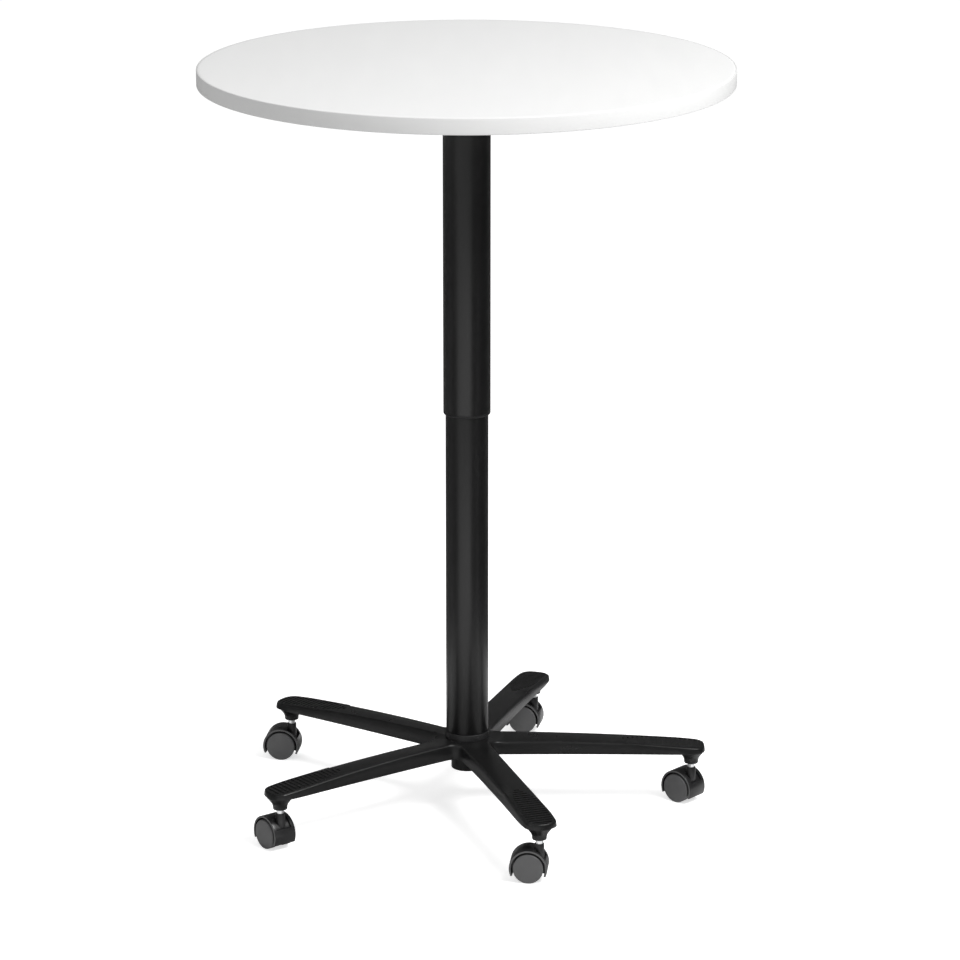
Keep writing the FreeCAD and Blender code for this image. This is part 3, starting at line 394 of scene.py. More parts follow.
lip_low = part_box("column_mouth_bush")[0].z
bush_bore, sleeve_radius, lip_radius = 0.0312, 0.0320, 0.03405
lip_gap, sleeve_reach = 0.0002, 0.04
bush = turned("column_mouth_lip", [
    (bush_bore, lip_low + 0.0009), (0.0316, lip_low), (0.0326, lip_low), (0.03355, lip_low + 0.0008),
    (lip_radius, lip_low + 0.0021), (lip_radius, tube_low - lip_gap),
    (sleeve_radius, tube_low - lip_gap), (sleeve_radius, tube_low + sleeve_reach),
    (bush_bore, tube_low + sleeve_reach), (bush_bore, lip_low + 0.0009)], 128, ())
shade(bush, 50)

bush_plastic, shader = new_finish("black_bush_plastic", 0.35)
grain = use_group(bush_plastic, pebble, **{"Pebbles per metre": 2200, "Roughening": 0.7})
marks = use_group(bush_plastic, handling, **{"Marks per metre": 30})
blend_colours(bush_plastic, marks.outputs["Smudge"], (0.010, 0.010, 0.0105), (0.017, 0.017, 0.0175),
              shader.inputs["Base Color"])
between(bush_plastic, marks.outputs["Smudge"], 0.38, 0.55, shader.inputs["Roughness"])
relief(bush_plastic, grain.outputs["Height"], 0.00003, shader.inputs["Normal"])
bush.data.materials.append(bush_plastic)
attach(bush, "top")
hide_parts("column_mouth_bush")
refinish("tube_end_bush", bush_plastic)

# Lower tube and collar: the inner tube, coated like the outer one, with the key groove milled down
# its back that stops the top from turning.  A thin moulded collar covers the joint with the base.
inner_low, inner_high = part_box("lower_tube")[0].z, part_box("lower_tube")[1].z
lower_radius, lower_bore = 0.0309, 0.0284
lower = turned("lower_column_tube", [
    (lower_radius, inner_low), (lower_radius, inner_high), (lower_bore, inner_high),
    (lower_bore, inner_low), (lower_radius, inner_low)], 128, ())
groove_width, groove_depth, groove_low = 0.0052, 0.0013, 0.2498
cutter_depth, past_end = 0.004, 0.01
bpy.ops.mesh.primitive_cube_add(size=1, location=(0, 0, 0))
groove = start("key_groove")
bpy.ops.mesh.select_all(action="SELECT")
bpy.ops.transform.resize(value=(groove_width, cutter_depth, inner_high - groove_low + past_end))
bpy.ops.transform.translate(value=(
    0, lower_radius - groove_depth + cutter_depth / 2, (groove_low + inner_high + past_end) / 2))
bpy.ops.object.mode_set(mode="OBJECT")
combine(lower, groove, "DIFFERENCE")
break_arrises(lower, 0.0003, 2, 40)
lower.data.materials.append(coat)
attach(lower, "base")
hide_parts("lower_tube")

collar_low, collar_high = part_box("column_collar")[0].z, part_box("column_collar")[1].z
collar_bore, collar_radius = 0.0310, 0.0324
collar = turned("foot_collar", [
    (collar_bore, collar_low), (collar_radius, collar_low), (collar_radius, collar_high - 0.001),
    (0.0321, collar_high - 0.0003), (0.0316, collar_high), (collar_bore, collar_high),
    (collar_bore, collar_low)], 128, ())
shade(collar, 40)
collar.data.materials.append(bush_plastic)
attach(collar, "base")
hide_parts("column_collar")

# Gas spring and the pieces round its rod: a black enamelled cylinder, a ground chrome rod, a rubber
# stop, and the washer and clip that hold the rod in the foot.  Their shapes stay as in the CAD.
enamel, shader = new_finish("black_enamel", 0.5)
marks = use_group(enamel, handling, **{"Marks per metre": 25})
blend_colours(enamel, marks.outputs["Smudge"], (0.012, 0.012, 0.012), (0.02, 0.02, 0.02),
              shader.inputs["Base Color"])
between(enamel, marks.outputs["Smudge"], 0.12, 0.22, shader.inputs["Roughness"])

chrome, shader = new_finish("polished_chrome", 0.5)
marks = use_group(chrome, handling, **{"Marks per metre": 60, "Streaks per metre": 900})
blend_colours(chrome, marks.outputs["Smudge"], (0.78, 0.79, 0.80), (0.88, 0.88, 0.885),
              shader.inputs["Base Color"])
between(chrome, marks.outputs["Streak"], 0.06, 0.16, shader.inputs["Roughness"])
shader.inputs["Metallic"].default_value = 1

alloy, shader = new_finish("turned_aluminium", 0.5)
marks = use_group(alloy, handling, **{"Marks per metre": 90, "Streaks per metre": 2500})
blend_colours(alloy, marks.outputs["Smudge"], (0.52, 0.52, 0.53), (0.66, 0.66, 0.66),
              shader.inputs["Base Color"])
between(alloy, marks.outputs["Streak"], 0.28, 0.45, shader.inputs["Roughness"])
shader.inputs["Metallic"].default_value = 1

rubber, shader = new_finish("black_rubber", 0.25)
grain = use_group(rubber, pebble, **{"Pebbles per metre": 1800, "Roughening": 0.8})
blend_colours(rubber, grain.outputs["Tone"], (0.008, 0.008, 0.008), (0.016, 0.016, 0.016),
              shader.inputs["Base Color"])
between(rubber, grain.outputs["Tone"], 0.7, 0.85, shader.inputs["Roughness"])
relief(rubber, grain.outputs["Height"], 0.00005, shader.inputs["Normal"])

for node_name, finish in (("gas_cylinder", enamel), ("piston_rod", chrome), ("gas_piston", alloy),
                          ("valve_button", chrome), ("end_stop_bumper", rubber),
                          ("rod_washer", zinc), ("rod_clip", zinc), ("column_foot", alloy),
                          ("lever_pivot_pin", zinc)):
    refinish(node_name, finish)

# Release lever: a flat steel bar, joggled down beside the column head and coated black, with a soft
# moulded paddle pushed on its end.  The paddle has a dished top and three finger grooves below.
refinish("release_lever", coat)
grip_low, grip_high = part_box("lever_grip")
grip_middle = (grip_low + grip_high) / 2
grip_size = grip_high - grip_low
paddle_round, paddle_arris, dish_margin, dish_depth = 0.0135, 0.0045, 0.003, 0.0011
bpy.ops.mesh.primitive_cube_add(size=1, location=grip_middle, scale=grip_size)
paddle = start("lever_paddle")
pick("edges", lambda edge: abs(edge.verts[0].co.z - edge.verts[1].co.z) > 0.005)
bpy.ops.mesh.bevel(offset=paddle_round, segments=8)
pick("edges", lambda edge: abs(edge.verts[0].co.z - edge.verts[1].co.z) < 1e-5)
bpy.ops.mesh.bevel(offset=paddle_arris, segments=5)
pick("faces", lambda face: abs(face.normal.z) > 0.95 and face.calc_area() > 1e-4)
bpy.ops.mesh.inset(thickness=dish_margin)
pick("faces", lambda face: face.normal.z > 0.95 and face.calc_area() > 1e-4)
bpy.ops.transform.translate(value=(0, 0, -dish_depth))
bpy.ops.object.mode_set(mode="OBJECT")
finger_pitch = 0.008
first_finger = (grip_middle.x - finger_pitch, 0, grip_low.z + 0.0002)
bpy.ops.mesh.primitive_cube_add(size=1, location=first_finger)
finger_cut = start("finger_grooves")
bpy.ops.mesh.select_all(action="SELECT")
bpy.ops.transform.resize(value=(0.0035, 0.022, 0.002), center_override=first_finger)
bpy.ops.mesh.bevel(offset=0.0008, segments=2)
for k in range(2):
    bpy.ops.mesh.select_linked()
    bpy.ops.mesh.duplicate()
    bpy.ops.transform.translate(value=(finger_pitch, 0, 0))
bpy.ops.object.mode_set(mode="OBJECT")
combine(paddle, finger_cut, "DIFFERENCE")
shade(paddle, 35)

grip_plastic, shader = new_finish("black_grip_plastic", 0.35)
grain = use_group(grip_plastic, pebble, **{"Pebbles per metre": 2600, "Roughening": 0.6})
marks = use_group(grip_plastic, handling, **{"Marks per metre": 40})
blend_colours(grip_plastic, marks.outputs["Smudge"], (0.010, 0.010, 0.0105),
              (0.018, 0.018, 0.0185), shader.inputs["Base Color"])
between(grip_plastic, marks.outputs["Smudge"], 0.45, 0.6, shader.inputs["Roughness"])
relief(grip_plastic, grain.outputs["Height"], 0.00004, shader.inputs["Normal"])
paddle.data.materials.append(grip_plastic)
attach(paddle, "lever")
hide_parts("lever_grip")

# Star base: one casting with five arms that run out and down from the hub.  Each arm has a tilted
# facet on one side, a ribbed pad near its tip and a trumpet-shaped boss for a castor.  One arm is
# drawn row by row from a grid, and five of them are closed round the hub.
arm_under, hub_top = 0.0813, 0.1035
crown_start, crown_bend = 0.0307, 0.136


def crown_at(out):
    """How high the arms' tops are at a distance from the middle: a curve that falls outwards."""
    return hub_top - crown_bend * max(out - crown_start, 0) ** 2


def arc_onward(start, heading, end, steps):
    """The places and headings along an arc that sets off from start and closes on end."""
    chord = Vector(end) - Vector(start)
    lean = math.atan2(chord.y, chord.x) - heading
    radius = chord.length / (2 * math.sin(lean))
    middle = Vector(start) + radius * Vector((-math.sin(heading), math.cos(heading)))
    headings = [heading + 2 * lean * k / steps for k in range(1, steps + 1)]
    return [(middle + radius * Vector((math.sin(way), -math.cos(way))), way) for way in headings]


# half the outline of an arm's top: the root where two arms meet, a long waist up to the shoulder,
# and three arcs round the tip
root_out, root_low_out, half_sector = 0.0286, 0.0321, math.pi / 5
waist_half, waist_out, waist_bend = 0.01973, 0.120, 0.113
shoulder, cheek, nose, tip = 0.300, (0.336, 0.02263), (0.3477, 0.0140), (0.3505, 0)
facet_end, facet_step = 0.234, 0.0016
outline = []
for out in (root_out, 0.056, 0.080, 0.125, 0.170, 0.200, facet_end - facet_step / 2,
            facet_end + facet_step / 2, 0.260, shoulder):
    outline.append((Vector((out, waist_half + waist_bend * (out - waist_out) ** 2)),
                    2 * waist_bend * (out - waist_out)))
for corner_place, steps in ((cheek, 3), (nose, 3), (tip, 3)):
    last_place, last_heading = outline[-1]
    outline += arc_onward(last_place, last_heading, corner_place, steps)
del outline[-1]

# the walls lean out towards the floor, so each row is a little wider below
wall_lean = 0.0026 / (hub_top - arm_under)
arm_rows = []
for top_place, heading in outline:
    spread = wall_lean * (crown_at(top_place.x) - arm_under)
    low_place = top_place + spread * Vector((-math.sin(heading), math.cos(heading)))
    arm_rows.append((*top_place, *low_place))
arm_rows[0] = (root_out, root_out * math.tan(half_sector),
               root_low_out, root_low_out * math.tan(half_sector))


facet_bend, bend_side = 0.125, 0.001
root_shift, root_run, end_shift = 0.014, 0.089, 0.0115


def facet_edge_at(out):
    """How far to the side the facet's inner edge lies, at a distance from the middle."""
    if out < facet_bend:
        return bend_side + root_shift * (facet_bend - out) / root_run
    return bend_side - end_shift * (out - facet_bend) / (facet_end - facet_bend)


# rows that are done are parked far off, so that no later row picks their corners too
facet_slope, parked = math.tan(math.radians(7)), 10
rows = len(arm_rows)
bpy.ops.mesh.primitive_grid_add(x_subdivisions=rows - 1, y_subdivisions=2, size=2)
star = start("star_base_casting")
row_x = [-1 + 2 * k / (rows - 1) for k in range(rows)]
bpy.ops.mesh.select_all(action="SELECT")
bpy.ops.mesh.extrude_region_move()
bpy.ops.transform.translate(value=(0, 0, -1))
for k in reversed(range(rows)):
    top_out, top_half, low_out, low_half = arm_rows[k]
    for level, out, half, lift in ((0, top_out, top_half, crown_at(top_out)),
                                   (-1, low_out, low_half, arm_under)):
        pick("verts", lambda corner: abs(corner.co.x - row_x[k]) < 1e-4 and corner.co.z == level)
        bpy.ops.transform.resize(value=(1, half, 1), center_override=(0, 0, 0))
        bpy.ops.transform.translate(value=(out - row_x[k] + parked, 0, lift - level + parked))
pick("verts", lambda corner: True)
bpy.ops.transform.translate(value=(-parked, 0, -parked))
for top_out, top_half in [row[:2] for row in arm_rows if row[0] < facet_end]:
    edge_side = facet_edge_at(top_out)
    pick("verts", lambda corner: abs(corner.co.x - top_out) < 1e-4 and corner.co.z > 0.085
         and abs(corner.co.y) < 0.001)
    bpy.ops.transform.translate(value=(0, edge_side, 0))
    if top_out > 0.05:
        pick("verts", lambda corner: abs(corner.co.x - top_out) < 1e-4 and corner.co.z > 0.085
             and corner.co.y < -0.015)
        bpy.ops.transform.translate(value=(0, 0, -facet_slope * (edge_side + top_half)))
bpy.ops.mesh.select_all(action="SELECT")
bpy.ops.mesh.normals_make_consistent(inside=False)
pick("faces", lambda face: centre_of(face).x < 0.034 and face.normal.x < -0.7)
bpy.ops.mesh.delete(type="FACE")
bpy.ops.object.mode_set(mode="OBJECT")
hub_round, rim_round, under_round = 0.0195, 0.0032, 0.0004
copy_round(star, 5, 2 * math.pi / 5)
bpy.ops.object.mode_set(mode="EDIT")
bpy.ops.mesh.select_all(action="SELECT")
bpy.ops.mesh.remove_doubles(threshold=1e-4)
for level in (hub_top, arm_under):
    pick("edges", lambda edge: len(edge.link_faces) == 1
         and all(abs(corner.co.z - level) < 1e-4 for corner in edge.verts)
         and centre_of(edge).xy.length < 0.045)
    bpy.ops.mesh.edge_face_add()
bpy.ops.mesh.select_all(action="SELECT")
bpy.ops.mesh.normals_make_consistent(inside=False)
pick("edges", lambda edge: centre_of(edge).xy.length < 0.043 and edge.verts[0].co.xy.length > 0.03
     and abs(edge.verts[0].co.z - edge.verts[1].co.z) > 0.015)
bpy.ops.mesh.bevel(offset=hub_round, segments=10)
pick("edges", lambda edge: len(edge.link_faces) == 2 and centre_of(edge).z > arm_under + 0.003
     and min(abs(face.normal.z) for face in edge.link_faces) < 0.6
     and max(abs(face.normal.z) for face in edge.link_faces) > 0.8)
bpy.ops.mesh.bevel(offset=rim_round, segments=5)
pick("edges", lambda edge: len(edge.link_faces) == 2 and centre_of(edge).z < arm_under + 0.0005
     and min(abs(face.normal.z) for face in edge.link_faces) < 0.6
     and max(abs(face.normal.z) for face in edge.link_faces) > 0.8)
bpy.ops.mesh.bevel(offset=under_round, segments=2)
bpy.ops.object.mode_set(mode="OBJECT")

# castor bosses under the tips, and the hub's boss
boss_rim, boss_low, flare, boss_reach = 0.0105, 0.061, 0.014, 0.0198
boss_rings = [(boss_rim - 0.0015, boss_low), (boss_rim - 0.00044, boss_low + 0.00044),
              (boss_rim, boss_low + 0.0015)]
swing = math.radians(38)
for k in range(8):
    lean = swing * k / 7
    boss_rings.append((boss_rim + flare * (1 - math.cos(lean)),
                       boss_low + 0.0025 + flare * math.sin(lean)))
curve_out, curve_height = boss_rings[-1]
boss_rings += [(boss_reach, curve_height + (boss_reach - curve_out) / math.tan(swing)),
               (boss_reach, arm_under + 0.0010)]
bosses = turned("castor_bosses", boss_rings, 64, (0, -1))
castor_circle = 0.331
bosses.location = (castor_circle, 0, 0)
copy_round(bosses, 5, 2 * math.pi / 5)
combine(star, bosses, "UNION")
hub_boss = turned("hub_boss", [(0.0225, 0.055), (0.0232, 0.0553), (0.0235, 0.056),
                               (0.0235, 0.0853)], 96, (0, -1))
combine(star, hub_boss, "UNION")

# grooves across the pads, and bays between the ribs below
bpy.ops.mesh.primitive_cube_add(size=0.001, location=(0.2, 0, 0.2))
grooves = start("pad_grooves")
bpy.ops.mesh.select_all(action="SELECT")
bpy.ops.mesh.delete(type="VERT")
groove_count, pad_start, pad_end = 17, 0.230, 0.343
nose_half, nose_spread, nose_run = 0.0045, 0.0145, 0.050
pad_tip, tip_run = 0.3455, 0.022
for k in range(groove_count):
    out = pad_start + (pad_end - pad_start) * k / (groove_count - 1)
    half = nose_half + nose_spread * math.sin(min((out - pad_start) / nose_run, 1) * math.pi / 2)
    short_of_tip = max(pad_tip - out, 0)
    if short_of_tip < tip_run:
        half *= math.sqrt(1 - (1 - short_of_tip / tip_run) ** 2 / 2)
    bpy.ops.mesh.primitive_cube_add(size=1, location=(out, 0, crown_at(out) + 0.0011),
                                    scale=(0.003, 2 * half, 0.004))
pick("edges", lambda edge: abs(edge.verts[0].co.z - edge.verts[1].co.z) > 0.003)
bpy.ops.mesh.bevel(offset=0.0013, segments=3)
bay_low, bay_start, bay_length, bay_pitch = arm_under - 0.002, 0.058, 0.046, 0.049
bay_width, bay_taper, top_wall = 0.036, 0.89, 0.004
for k in range(5):
    near_end = bay_start + k * bay_pitch
    bay_high = crown_at(near_end) - top_wall
    bpy.ops.mesh.primitive_cube_add(
        size=1, location=(near_end + bay_length / 2, 0, (bay_low + bay_high) / 2),
        scale=(bay_length, bay_width, bay_high - bay_low))
    pick("verts", lambda corner: corner.co.x > near_end - 1e-4
         and abs(corner.co.z - bay_high) < 1e-5)
    bpy.ops.transform.resize(value=(1, bay_taper, 1), center_override=(0, 0, 0))
    pick("verts", lambda corner: corner.co.x > near_end + 0.04
         and abs(corner.co.z - bay_high) < 1e-5)
    bpy.ops.transform.translate(value=(
        0, 0, crown_at(near_end + bay_length) - top_wall - bay_high))
pick("edges", lambda edge: min(corner.co.z for corner in edge.verts) < bay_low + 0.0005
     < max(corner.co.z for corner in edge.verts))
bpy.ops.mesh.bevel(offset=0.002, segments=3)
bpy.ops.object.mode_set(mode="OBJECT")
copy_round(grooves, 5, 2 * math.pi / 5)
combine(star, grooves, "DIFFERENCE")

# sockets for the castors, and the seat of the column in the hub
sockets = turned("castor_sockets", [(0.0065, 0.058), (0.0065, 0.085)], 48, (0, -1))
sockets.location = (castor_circle, 0, 0)
copy_round(sockets, 5, 2 * math.pi / 5)
combine(star, sockets, "DIFFERENCE")
seat = turned("column_seat", [(0.014, 0.050), (0.014, 0.0653), (0.016, 0.0653), (0.017, 0.0893),
                              (0.0309, 0.0893), (0.0309, 0.11)], 96, (0, -1))
combine(star, seat, "DIFFERENCE")
star.data.materials.append(cast_coat)
shade(star, 25)
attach(star, "base")
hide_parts("star_base")

# Castor stems and hoods: a chrome stem gripped in the boss, and a moulded hood that swivels on it.
# The hood's neck stands beside a scooped shell, with a web between the wheels and a lobe for the
# axle.
hood_plastic, shader = new_finish("black_hood_plastic", 0.5)
grain = use_group(hood_plastic, pebble, **{"Pebbles per metre": 3000, "Roughening": 0.6})
marks = use_group(hood_plastic, handling, **{"Marks per metre": 45})
blend_colours(hood_plastic, marks.outputs["Smudge"], (0.012, 0.012, 0.0125),
              (0.020, 0.020, 0.0205), shader.inputs["Base Color"])
between(hood_plastic, marks.outputs["Smudge"], 0.24, 0.34, shader.inputs["Roughness"])
relief(hood_plastic, grain.outputs["Height"], 0.00002, shader.inputs["Normal"])

# The hood's flat side rims take a lighter grey than its shell: a painted highlight standing in for
# the light their small rounded edges catch.
painted_rim_highlight, shader = new_finish("dark_grey_hood_rim", 0.4)
grain = use_group(painted_rim_highlight, pebble, **{"Pebbles per metre": 3000, "Roughening": 0.7})
blend_colours(painted_rim_highlight, grain.outputs["Tone"], (0.085, 0.085, 0.086), (0.115, 0.115, 0.116),
              shader.inputs["Base Color"])
between(painted_rim_highlight, grain.outputs["Tone"], 0.40, 0.52, shader.inputs["Roughness"])
relief(painted_rim_highlight, grain.outputs["Height"], 0.00003, shader.inputs["Normal"])

trail, axle_height = 0.0146, 0.0215
stem = turned("castor_stem", [
    (0.0048, 0.028), (0.0052, 0.0284), (0.0052, 0.0595), (0.0060, 0.0595), (0.0062, 0.0597),
    (0.0062, 0.0608), (0.0060, 0.0610), (0.0052, 0.0610), (0.0052, 0.0842), (0.0044, 0.0850)],
    64, (0, -1))
shade(stem, 40)
stem.data.materials.append(chrome)


def lay_over(piece, side):
    """Turns a piece from upright onto the axle, its top to the left or the right of the castor."""
    bpy.ops.object.select_all(action="DESELECT")
    piece.select_set(True)
    piece.rotation_euler = (-side * math.pi / 2, 0, 0)
    piece.location = (trail, 0, axle_height)
    bpy.ops.object.transform_apply(location=True, rotation=True, scale=True)
    return piece


def block(block_name, low, high):
    """A block between two corners."""
    low, high = Vector(low), Vector(high)
    bpy.ops.mesh.primitive_cube_add(size=1, location=(low + high) / 2, scale=high - low)
    piece = start(block_name)
    bpy.ops.object.mode_set(mode="OBJECT")
    return piece


hood_outer, hood_inner, hood_half = 0.0272, 0.0244, 0.018
hood = lay_over(turned("castor_hood", [
    (hood_inner, 0.0003 - hood_half), (hood_inner + 0.0003, -hood_half),
    (hood_outer - 0.0006, -hood_half), (hood_outer - 0.00018, 0.00018 - hood_half),
    (hood_outer, 0.0006 - hood_half), (hood_outer, hood_half - 0.0006),
    (hood_outer - 0.00018, hood_half - 0.00018), (hood_outer - 0.0006, hood_half),
    (hood_inner + 0.0003, hood_half), (hood_inner, hood_half - 0.0003),
    (hood_inner, 0.0003 - hood_half)], 96, ()), 1)
web_radius, web_half = 0.0258, 0.0065
web = turned("web", [(web_radius, -web_half), (web_radius, web_half)], 96, (0, 1))
combine(hood, lay_over(web, 1), "UNION")
mouth_half = 0.03 / math.tan(math.radians(25))
mouth = block("mouth", (trail - mouth_half, -0.03, axle_height - 0.03),
              (trail + mouth_half, 0.03, axle_height))
bpy.context.view_layer.objects.active = mouth
bpy.ops.object.mode_set(mode="EDIT")
pick("verts", lambda corner: corner.co.z > axle_height - 1e-4)
bpy.ops.transform.resize(value=(0, 1, 1), center_override=(trail, 0, axle_height))
bpy.ops.mesh.remove_doubles(threshold=1e-5)
bpy.ops.object.mode_set(mode="OBJECT")
combine(hood, mouth, "DIFFERENCE")
backing_inner, backing_outer, backing_half = 0.0224, 0.0261, 0.0141
backing = lay_over(turned("backing", [
    (backing_inner, -backing_half), (backing_outer, -backing_half), (backing_outer, backing_half),
    (backing_inner, backing_half), (backing_inner, -backing_half)], 80, ()), 1)
combine(backing, block("backing_limit", (-0.03, -0.02, 0.031), (0.006, 0.02, 0.06)), "INTERSECT")
combine(hood, backing, "UNION")
scoop_half, scoop_radius = 0.0125, 0.0240
scoop = block("scoop", (-0.03, -scoop_half, 0.033), (0.004, scoop_half, 0.06))
scoop_floor = turned("scoop_floor", [(scoop_radius, -0.02), (scoop_radius, 0.02)], 96, (0, 1))
combine(scoop, lay_over(scoop_floor, 1), "DIFFERENCE")
combine(hood, scoop, "DIFFERENCE")
lobe_radius, lobe_half, lobe_arris = 0.013, 0.0066, 0.0003
lobe = turned("lobe", [
    (lobe_radius - lobe_arris, -lobe_half), (lobe_radius, lobe_arris - lobe_half),
    (lobe_radius, lobe_half - lobe_arris), (lobe_radius - lobe_arris, lobe_half)], 64, (0, -1))
combine(hood, lay_over(lobe, 1), "UNION")
hood_neck = turned("neck", [
    (0.0072, 0.030), (0.00683, 0.0540), (0.0066, 0.0545), (0.0061, 0.0547)], 64, (0, -1))
combine(hood, hood_neck, "UNION")
stem_bore, axle_bore = 0.00528, 0.00255
stem_hole = turned("stem_bore", [(stem_bore, 0.0275), (stem_bore, 0.0600)], 64, (0, -1))
combine(hood, stem_hole, "DIFFERENCE")
axle_hole = turned("axle_bore", [(axle_bore, -0.01), (axle_bore, 0.01)], 32, (0, -1))
combine(hood, lay_over(axle_hole, 1), "DIFFERENCE")
shade(hood, 35)
hood.data.materials.append(hood_plastic)
hood.data.materials.append(painted_rim_highlight)
# the side rim faces get that lighter grey, the painted highlight along the hood's rims
bpy.ops.object.mode_set(mode="EDIT")
pick("faces", lambda face: abs(face.normal.y) > 0.5
     and abs(centre_of(face).y) > hood_half - 0.0008)
hood.active_material_index = 1
bpy.ops.object.material_slot_assign()
bpy.ops.object.mode_set(mode="OBJECT")

# Castor wheels: moulded discs with a rounded tread and a gently domed outer face, dished inside;
# the ribs inside are left out.  Each castor stands as it was left when the table was last pushed.
wheel_plastic, shader = new_finish("dark_grey_wheel_plastic", 0.4)
grain = use_group(wheel_plastic, pebble, **{"Pebbles per metre": 2600, "Roughening": 0.7})
marks = use_group(wheel_plastic, handling, **{"Marks per metre": 60})
blend_colours(wheel_plastic, marks.outputs["Smudge"], (0.086, 0.086, 0.087),
              (0.114, 0.114, 0.115), shader.inputs["Base Color"])
between(wheel_plastic, marks.outputs["Smudge"], 0.42, 0.58, shader.inputs["Roughness"])
relief(wheel_plastic, grain.outputs["Height"], 0.00004, shader.inputs["Normal"])

wheel_face, tread, dish, wheel_width = 0.0076, 0.0215, 0.008, 0.0116
wheel_bore, boss_radius, wall_radius, tread_round = 0.00258, 0.006, 0.0175, 0.0015
dome_high, dome_radius = 0.001, 0.019
wheel_rings = [(wheel_bore, 0.0086), (wheel_bore, 0.0003), (0.0028, 0), (0.0058, 0),
               (boss_radius, 0.0002), (boss_radius, dish), (wall_radius, dish),
               (wall_radius, 0.0003), (0.0178, 0), (0.0206, 0), (0.0212, 0.0002),
               (tread, 0.0008), (tread, wheel_width - tread_round)]
for k in range(1, 7):
    lean = math.pi / 2 * k / 6
    wheel_rings.append((tread - tread_round * (1 - math.cos(lean)),
                        wheel_width - tread_round * (1 - math.sin(lean))))
for out in (0.0190, 0.0186, 0.0175, 0.0155, 0.0130, 0.0105, 0.0075, 0.0040, 0.0015):
    wheel_rings.append((out, wheel_width + dome_high * (1 - (out / dome_radius) ** 2)))
left_wheel = turned("castor_wheel", [(out, wheel_face + along) for out, along in wheel_rings],
                    128, (0, -1))
shade(left_wheel, 35)
left_wheel.data.materials.append(wheel_plastic)


def put_copy(piece, copy_name, turn, spot, body, node_name):
    """A copy of a finished piece, turned about the upright axis and moved to its own place."""
    copy = piece.copy()
    copy.data = piece.data.copy()
    copy.name = copy_name
    bpy.context.collection.objects.link(copy)
    copy.rotation_euler = (0, 0, turn)
    copy.location = (spot[0], spot[1], 0)
    bpy.ops.object.select_all(action="DESELECT")
    copy.select_set(True)
    bpy.ops.object.transform_apply(location=True, rotation=True, scale=True)
    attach(copy, body)
    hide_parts(node_name)


right_wheel = left_wheel.copy()
right_wheel.data = left_wheel.data.copy()
bpy.context.collection.objects.link(right_wheel)
lay_over(left_wheel, 1)
lay_over(right_wheel, -1)
joint_place = {joint["name"]: joint["pos_m"] for joint in frame["joints"] if joint.get("pos_m")}
for place_name in ("right", "back", "back_left", "front_left", "front"):
    neck = joint_place[place_name + "_castor_swivel"]
    hub = joint_place[place_name + "_wheel_left_roll"]
    turn = math.atan2(hub[1] - neck[1], hub[0] - neck[0])
    for piece, part_name, body, slot_name in (
            (stem, "castor_stem", "base", "bright_chrome"),
            (hood, "castor_hood", place_name + "_castor", "hood_black"),
            (left_wheel, "castor_wheel_left", place_name + "_wheel_left", "wheel_black"),
            (right_wheel, "castor_wheel_right", place_name + "_wheel_right", "wheel_black")):
        node_name = place_name + "_" + part_name
        put_copy(piece, "dressed_" + node_name, turn, neck, body, node_name)
    refinish(place_name + "_castor_axle", zinc)
for piece in (stem, hood, left_wheel, right_wheel):
    bpy.data.objects.remove(piece)
refinish("castor_grip_sleeves", bush_plastic)

# Studio: a pale floor and backdrop, a large soft lamp at the front right and a weaker one at the
# left.  Grey cloths round the column, which only reflections show, draw its one broad sheen.  The
# camera stands well back with a long lens.
bpy.ops.mesh.primitive_plane_add(size=30, location=(0, 0, 0))
floor = bpy.context.object
floor.name = "studio_floor"
paper = bpy.data.materials.new("white_paper")
paper.use_nodes = True
nodes, links = paper.node_tree.nodes, paper.node_tree.links
nodes.remove(nodes["Principled BSDF"])
matt = nodes.new("ShaderNodeBsdfDiffuse")
matt.inputs["Color"].default_value = (0.9, 0.9, 0.9, 1)
glow = nodes.new("ShaderNodeEmission")
glow.inputs["Color"].default_value = (1, 1, 1, 1)
ray = nodes.new("ShaderNodeLightPath")
brightness = nodes.new("ShaderNodeMath")
brightness.operation = "MULTIPLY"
brightness.inputs[1].default_value = 0.62
links.new(ray.outputs["Is Camera Ray"], brightness.inputs[0])
links.new(brightness.outputs["Value"], glow.inputs["Strength"])
both = nodes.new("ShaderNodeAddShader")
links.new(matt.outputs["BSDF"], both.inputs[0])
links.new(glow.outputs["Emission"], both.inputs[1])
links.new(both.outputs["Shader"], nodes["Material Output"].inputs["Surface"])
floor.data.materials.append(paper)

world = bpy.data.worlds.new("studio")
bpy.context.scene.world = world
world.use_nodes = True
nodes, links = world.node_tree.nodes, world.node_tree.links
room = nodes["Background"]
room.inputs["Color"].default_value = (1, 1, 1, 1)
ray = nodes.new("ShaderNodeLightPath")
seen = nodes.new("ShaderNodeMath")
seen.operation = "MAXIMUM"
links.new(ray.outputs["Is Camera Ray"], seen.inputs[0])
links.new(ray.outputs["Is Transmission Ray"], seen.inputs[1])
level = nodes.new("ShaderNodeMapRange")
level.inputs["To Min"].default_value = 0.42
level.inputs["To Max"].default_value = 1
links.new(seen.outputs["Value"], level.inputs["Value"])
links.new(level.outputs["Result"], room.inputs["Strength"])


def soft_lamp(lamp_name, place, aim, width, height, power):
    """An upright soft box, aimed at a point."""
    lamp = bpy.data.lights.new(lamp_name, "AREA")
    lamp.shape = "RECTANGLE"
    lamp.size, lamp.size_y = width, height
    lamp.energy = power
    stand = bpy.data.objects.new(lamp_name, lamp)
    stand.location = place
    stand.rotation_euler = (Vector(aim) - Vector(place)).to_track_quat("-Z", "Y").to_euler()
    stand.visible_camera = False
    bpy.context.collection.objects.link(stand)


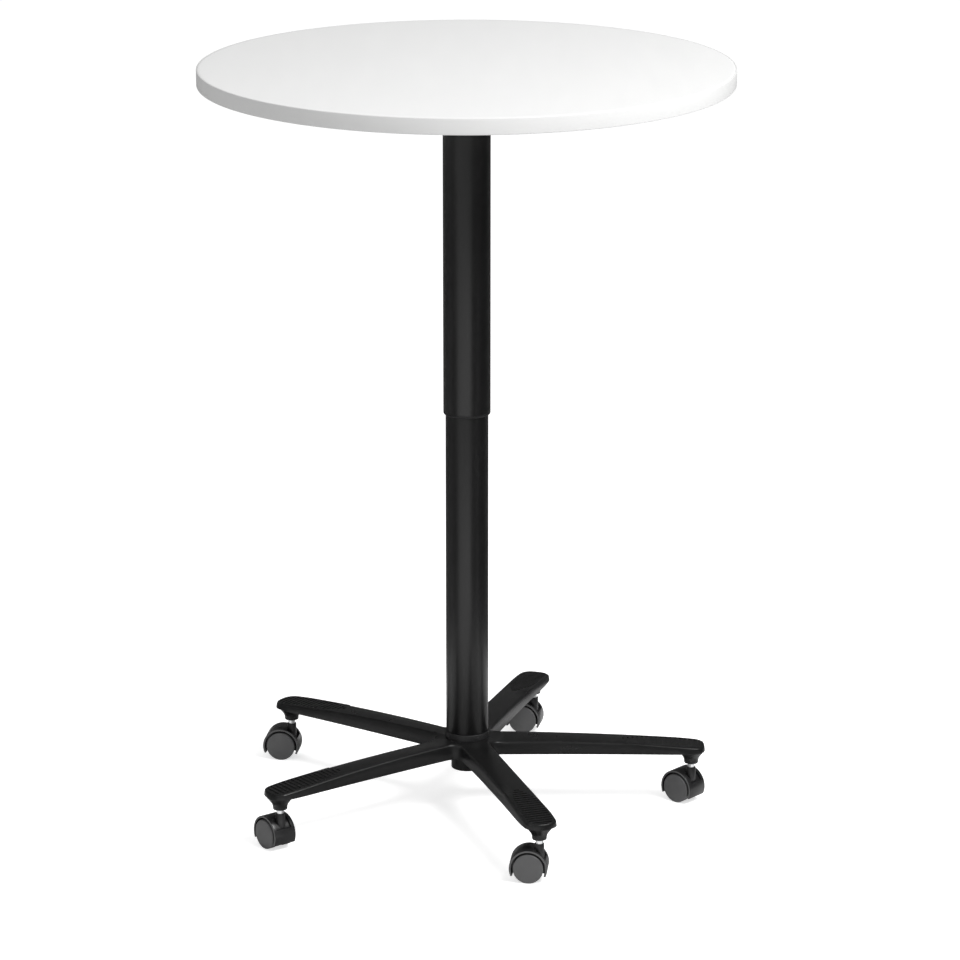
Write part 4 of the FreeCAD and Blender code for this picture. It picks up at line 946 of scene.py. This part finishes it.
soft_lamp("key_box", (2.0, -1.5, 3.3), (0, 0, 0.9), 1.6, 1.6, 122)
soft_lamp("fill_box", (-2.6, -2.4, 2.2), (0, 0, 0.6), 1.4, 1.4, 12)


def reflected_flag(flag_name, size, lean, turn, spot, grey):
    """A grey cloth that only reflections show: nothing else in the picture sees it."""
    cloth = bpy.data.materials.new(flag_name + "_cloth")
    cloth.use_nodes = True
    shader = cloth.node_tree.nodes["Principled BSDF"]
    shader.inputs["Base Color"].default_value = (grey, grey, grey, 1)
    shader.inputs["Specular IOR Level"].default_value = 0
    bpy.ops.mesh.primitive_plane_add(size=1)
    flag = bpy.context.object
    flag.name = flag_name
    flag.scale = (*size, 1)
    flag.rotation_euler = (lean, 0, turn)
    flag.location = spot
    flag.visible_camera = flag.visible_diffuse = False
    flag.visible_shadow = flag.visible_transmission = False
    flag.data.materials.append(cloth)


flag_stand, flag_height = 0.54, 1.04
for flag_name, bearing, flag_width, grey in (
        ("flag_left", 66, 0.38, 0.22), ("flag_far_left", 112, 0.46, 0.24),
        ("flag_back_left", 156, 0.37, 0.14), ("flag_back", -168, 0.37, 0.14),
        ("flag_right", -39, 0.36, 0.26), ("flag_far_right", -83, 0.46, 0.13),
        ("flag_back_right", -128, 0.44, 0.19)):
    side = math.radians(bearing)
    spot = (-flag_stand * math.sin(side), -flag_stand * math.cos(side), flag_height / 2 + 0.001)
    reflected_flag(flag_name, (flag_width, flag_height), math.pi / 2, -side, spot, grey)
reflected_flag("flag_on_floor", (0.60, 0.60), 0, 0, (0, 0, 0.002), 0.38)

lens = bpy.data.cameras.new("long_lens")
focal_pixels, photo_width = 4195.3, 960
lens.sensor_width = 36
lens.lens = focal_pixels * lens.sensor_width / photo_width
camera = bpy.data.objects.new("camera", lens)
bpy.context.collection.objects.link(camera)
pitch, pan, turn = math.radians(16.114), math.radians(-0.185), math.radians(0.162)
stand_off, camera_height = 5.8441, 2.1838
camera.location = (stand_off * math.sin(turn), -stand_off * math.cos(turn), camera_height)
camera.rotation_euler = (math.pi / 2 - pitch, 0, turn + pan)
lens.clip_end = 100
bpy.context.scene.camera = camera
bpy.context.scene.view_settings.view_transform = "Standard"
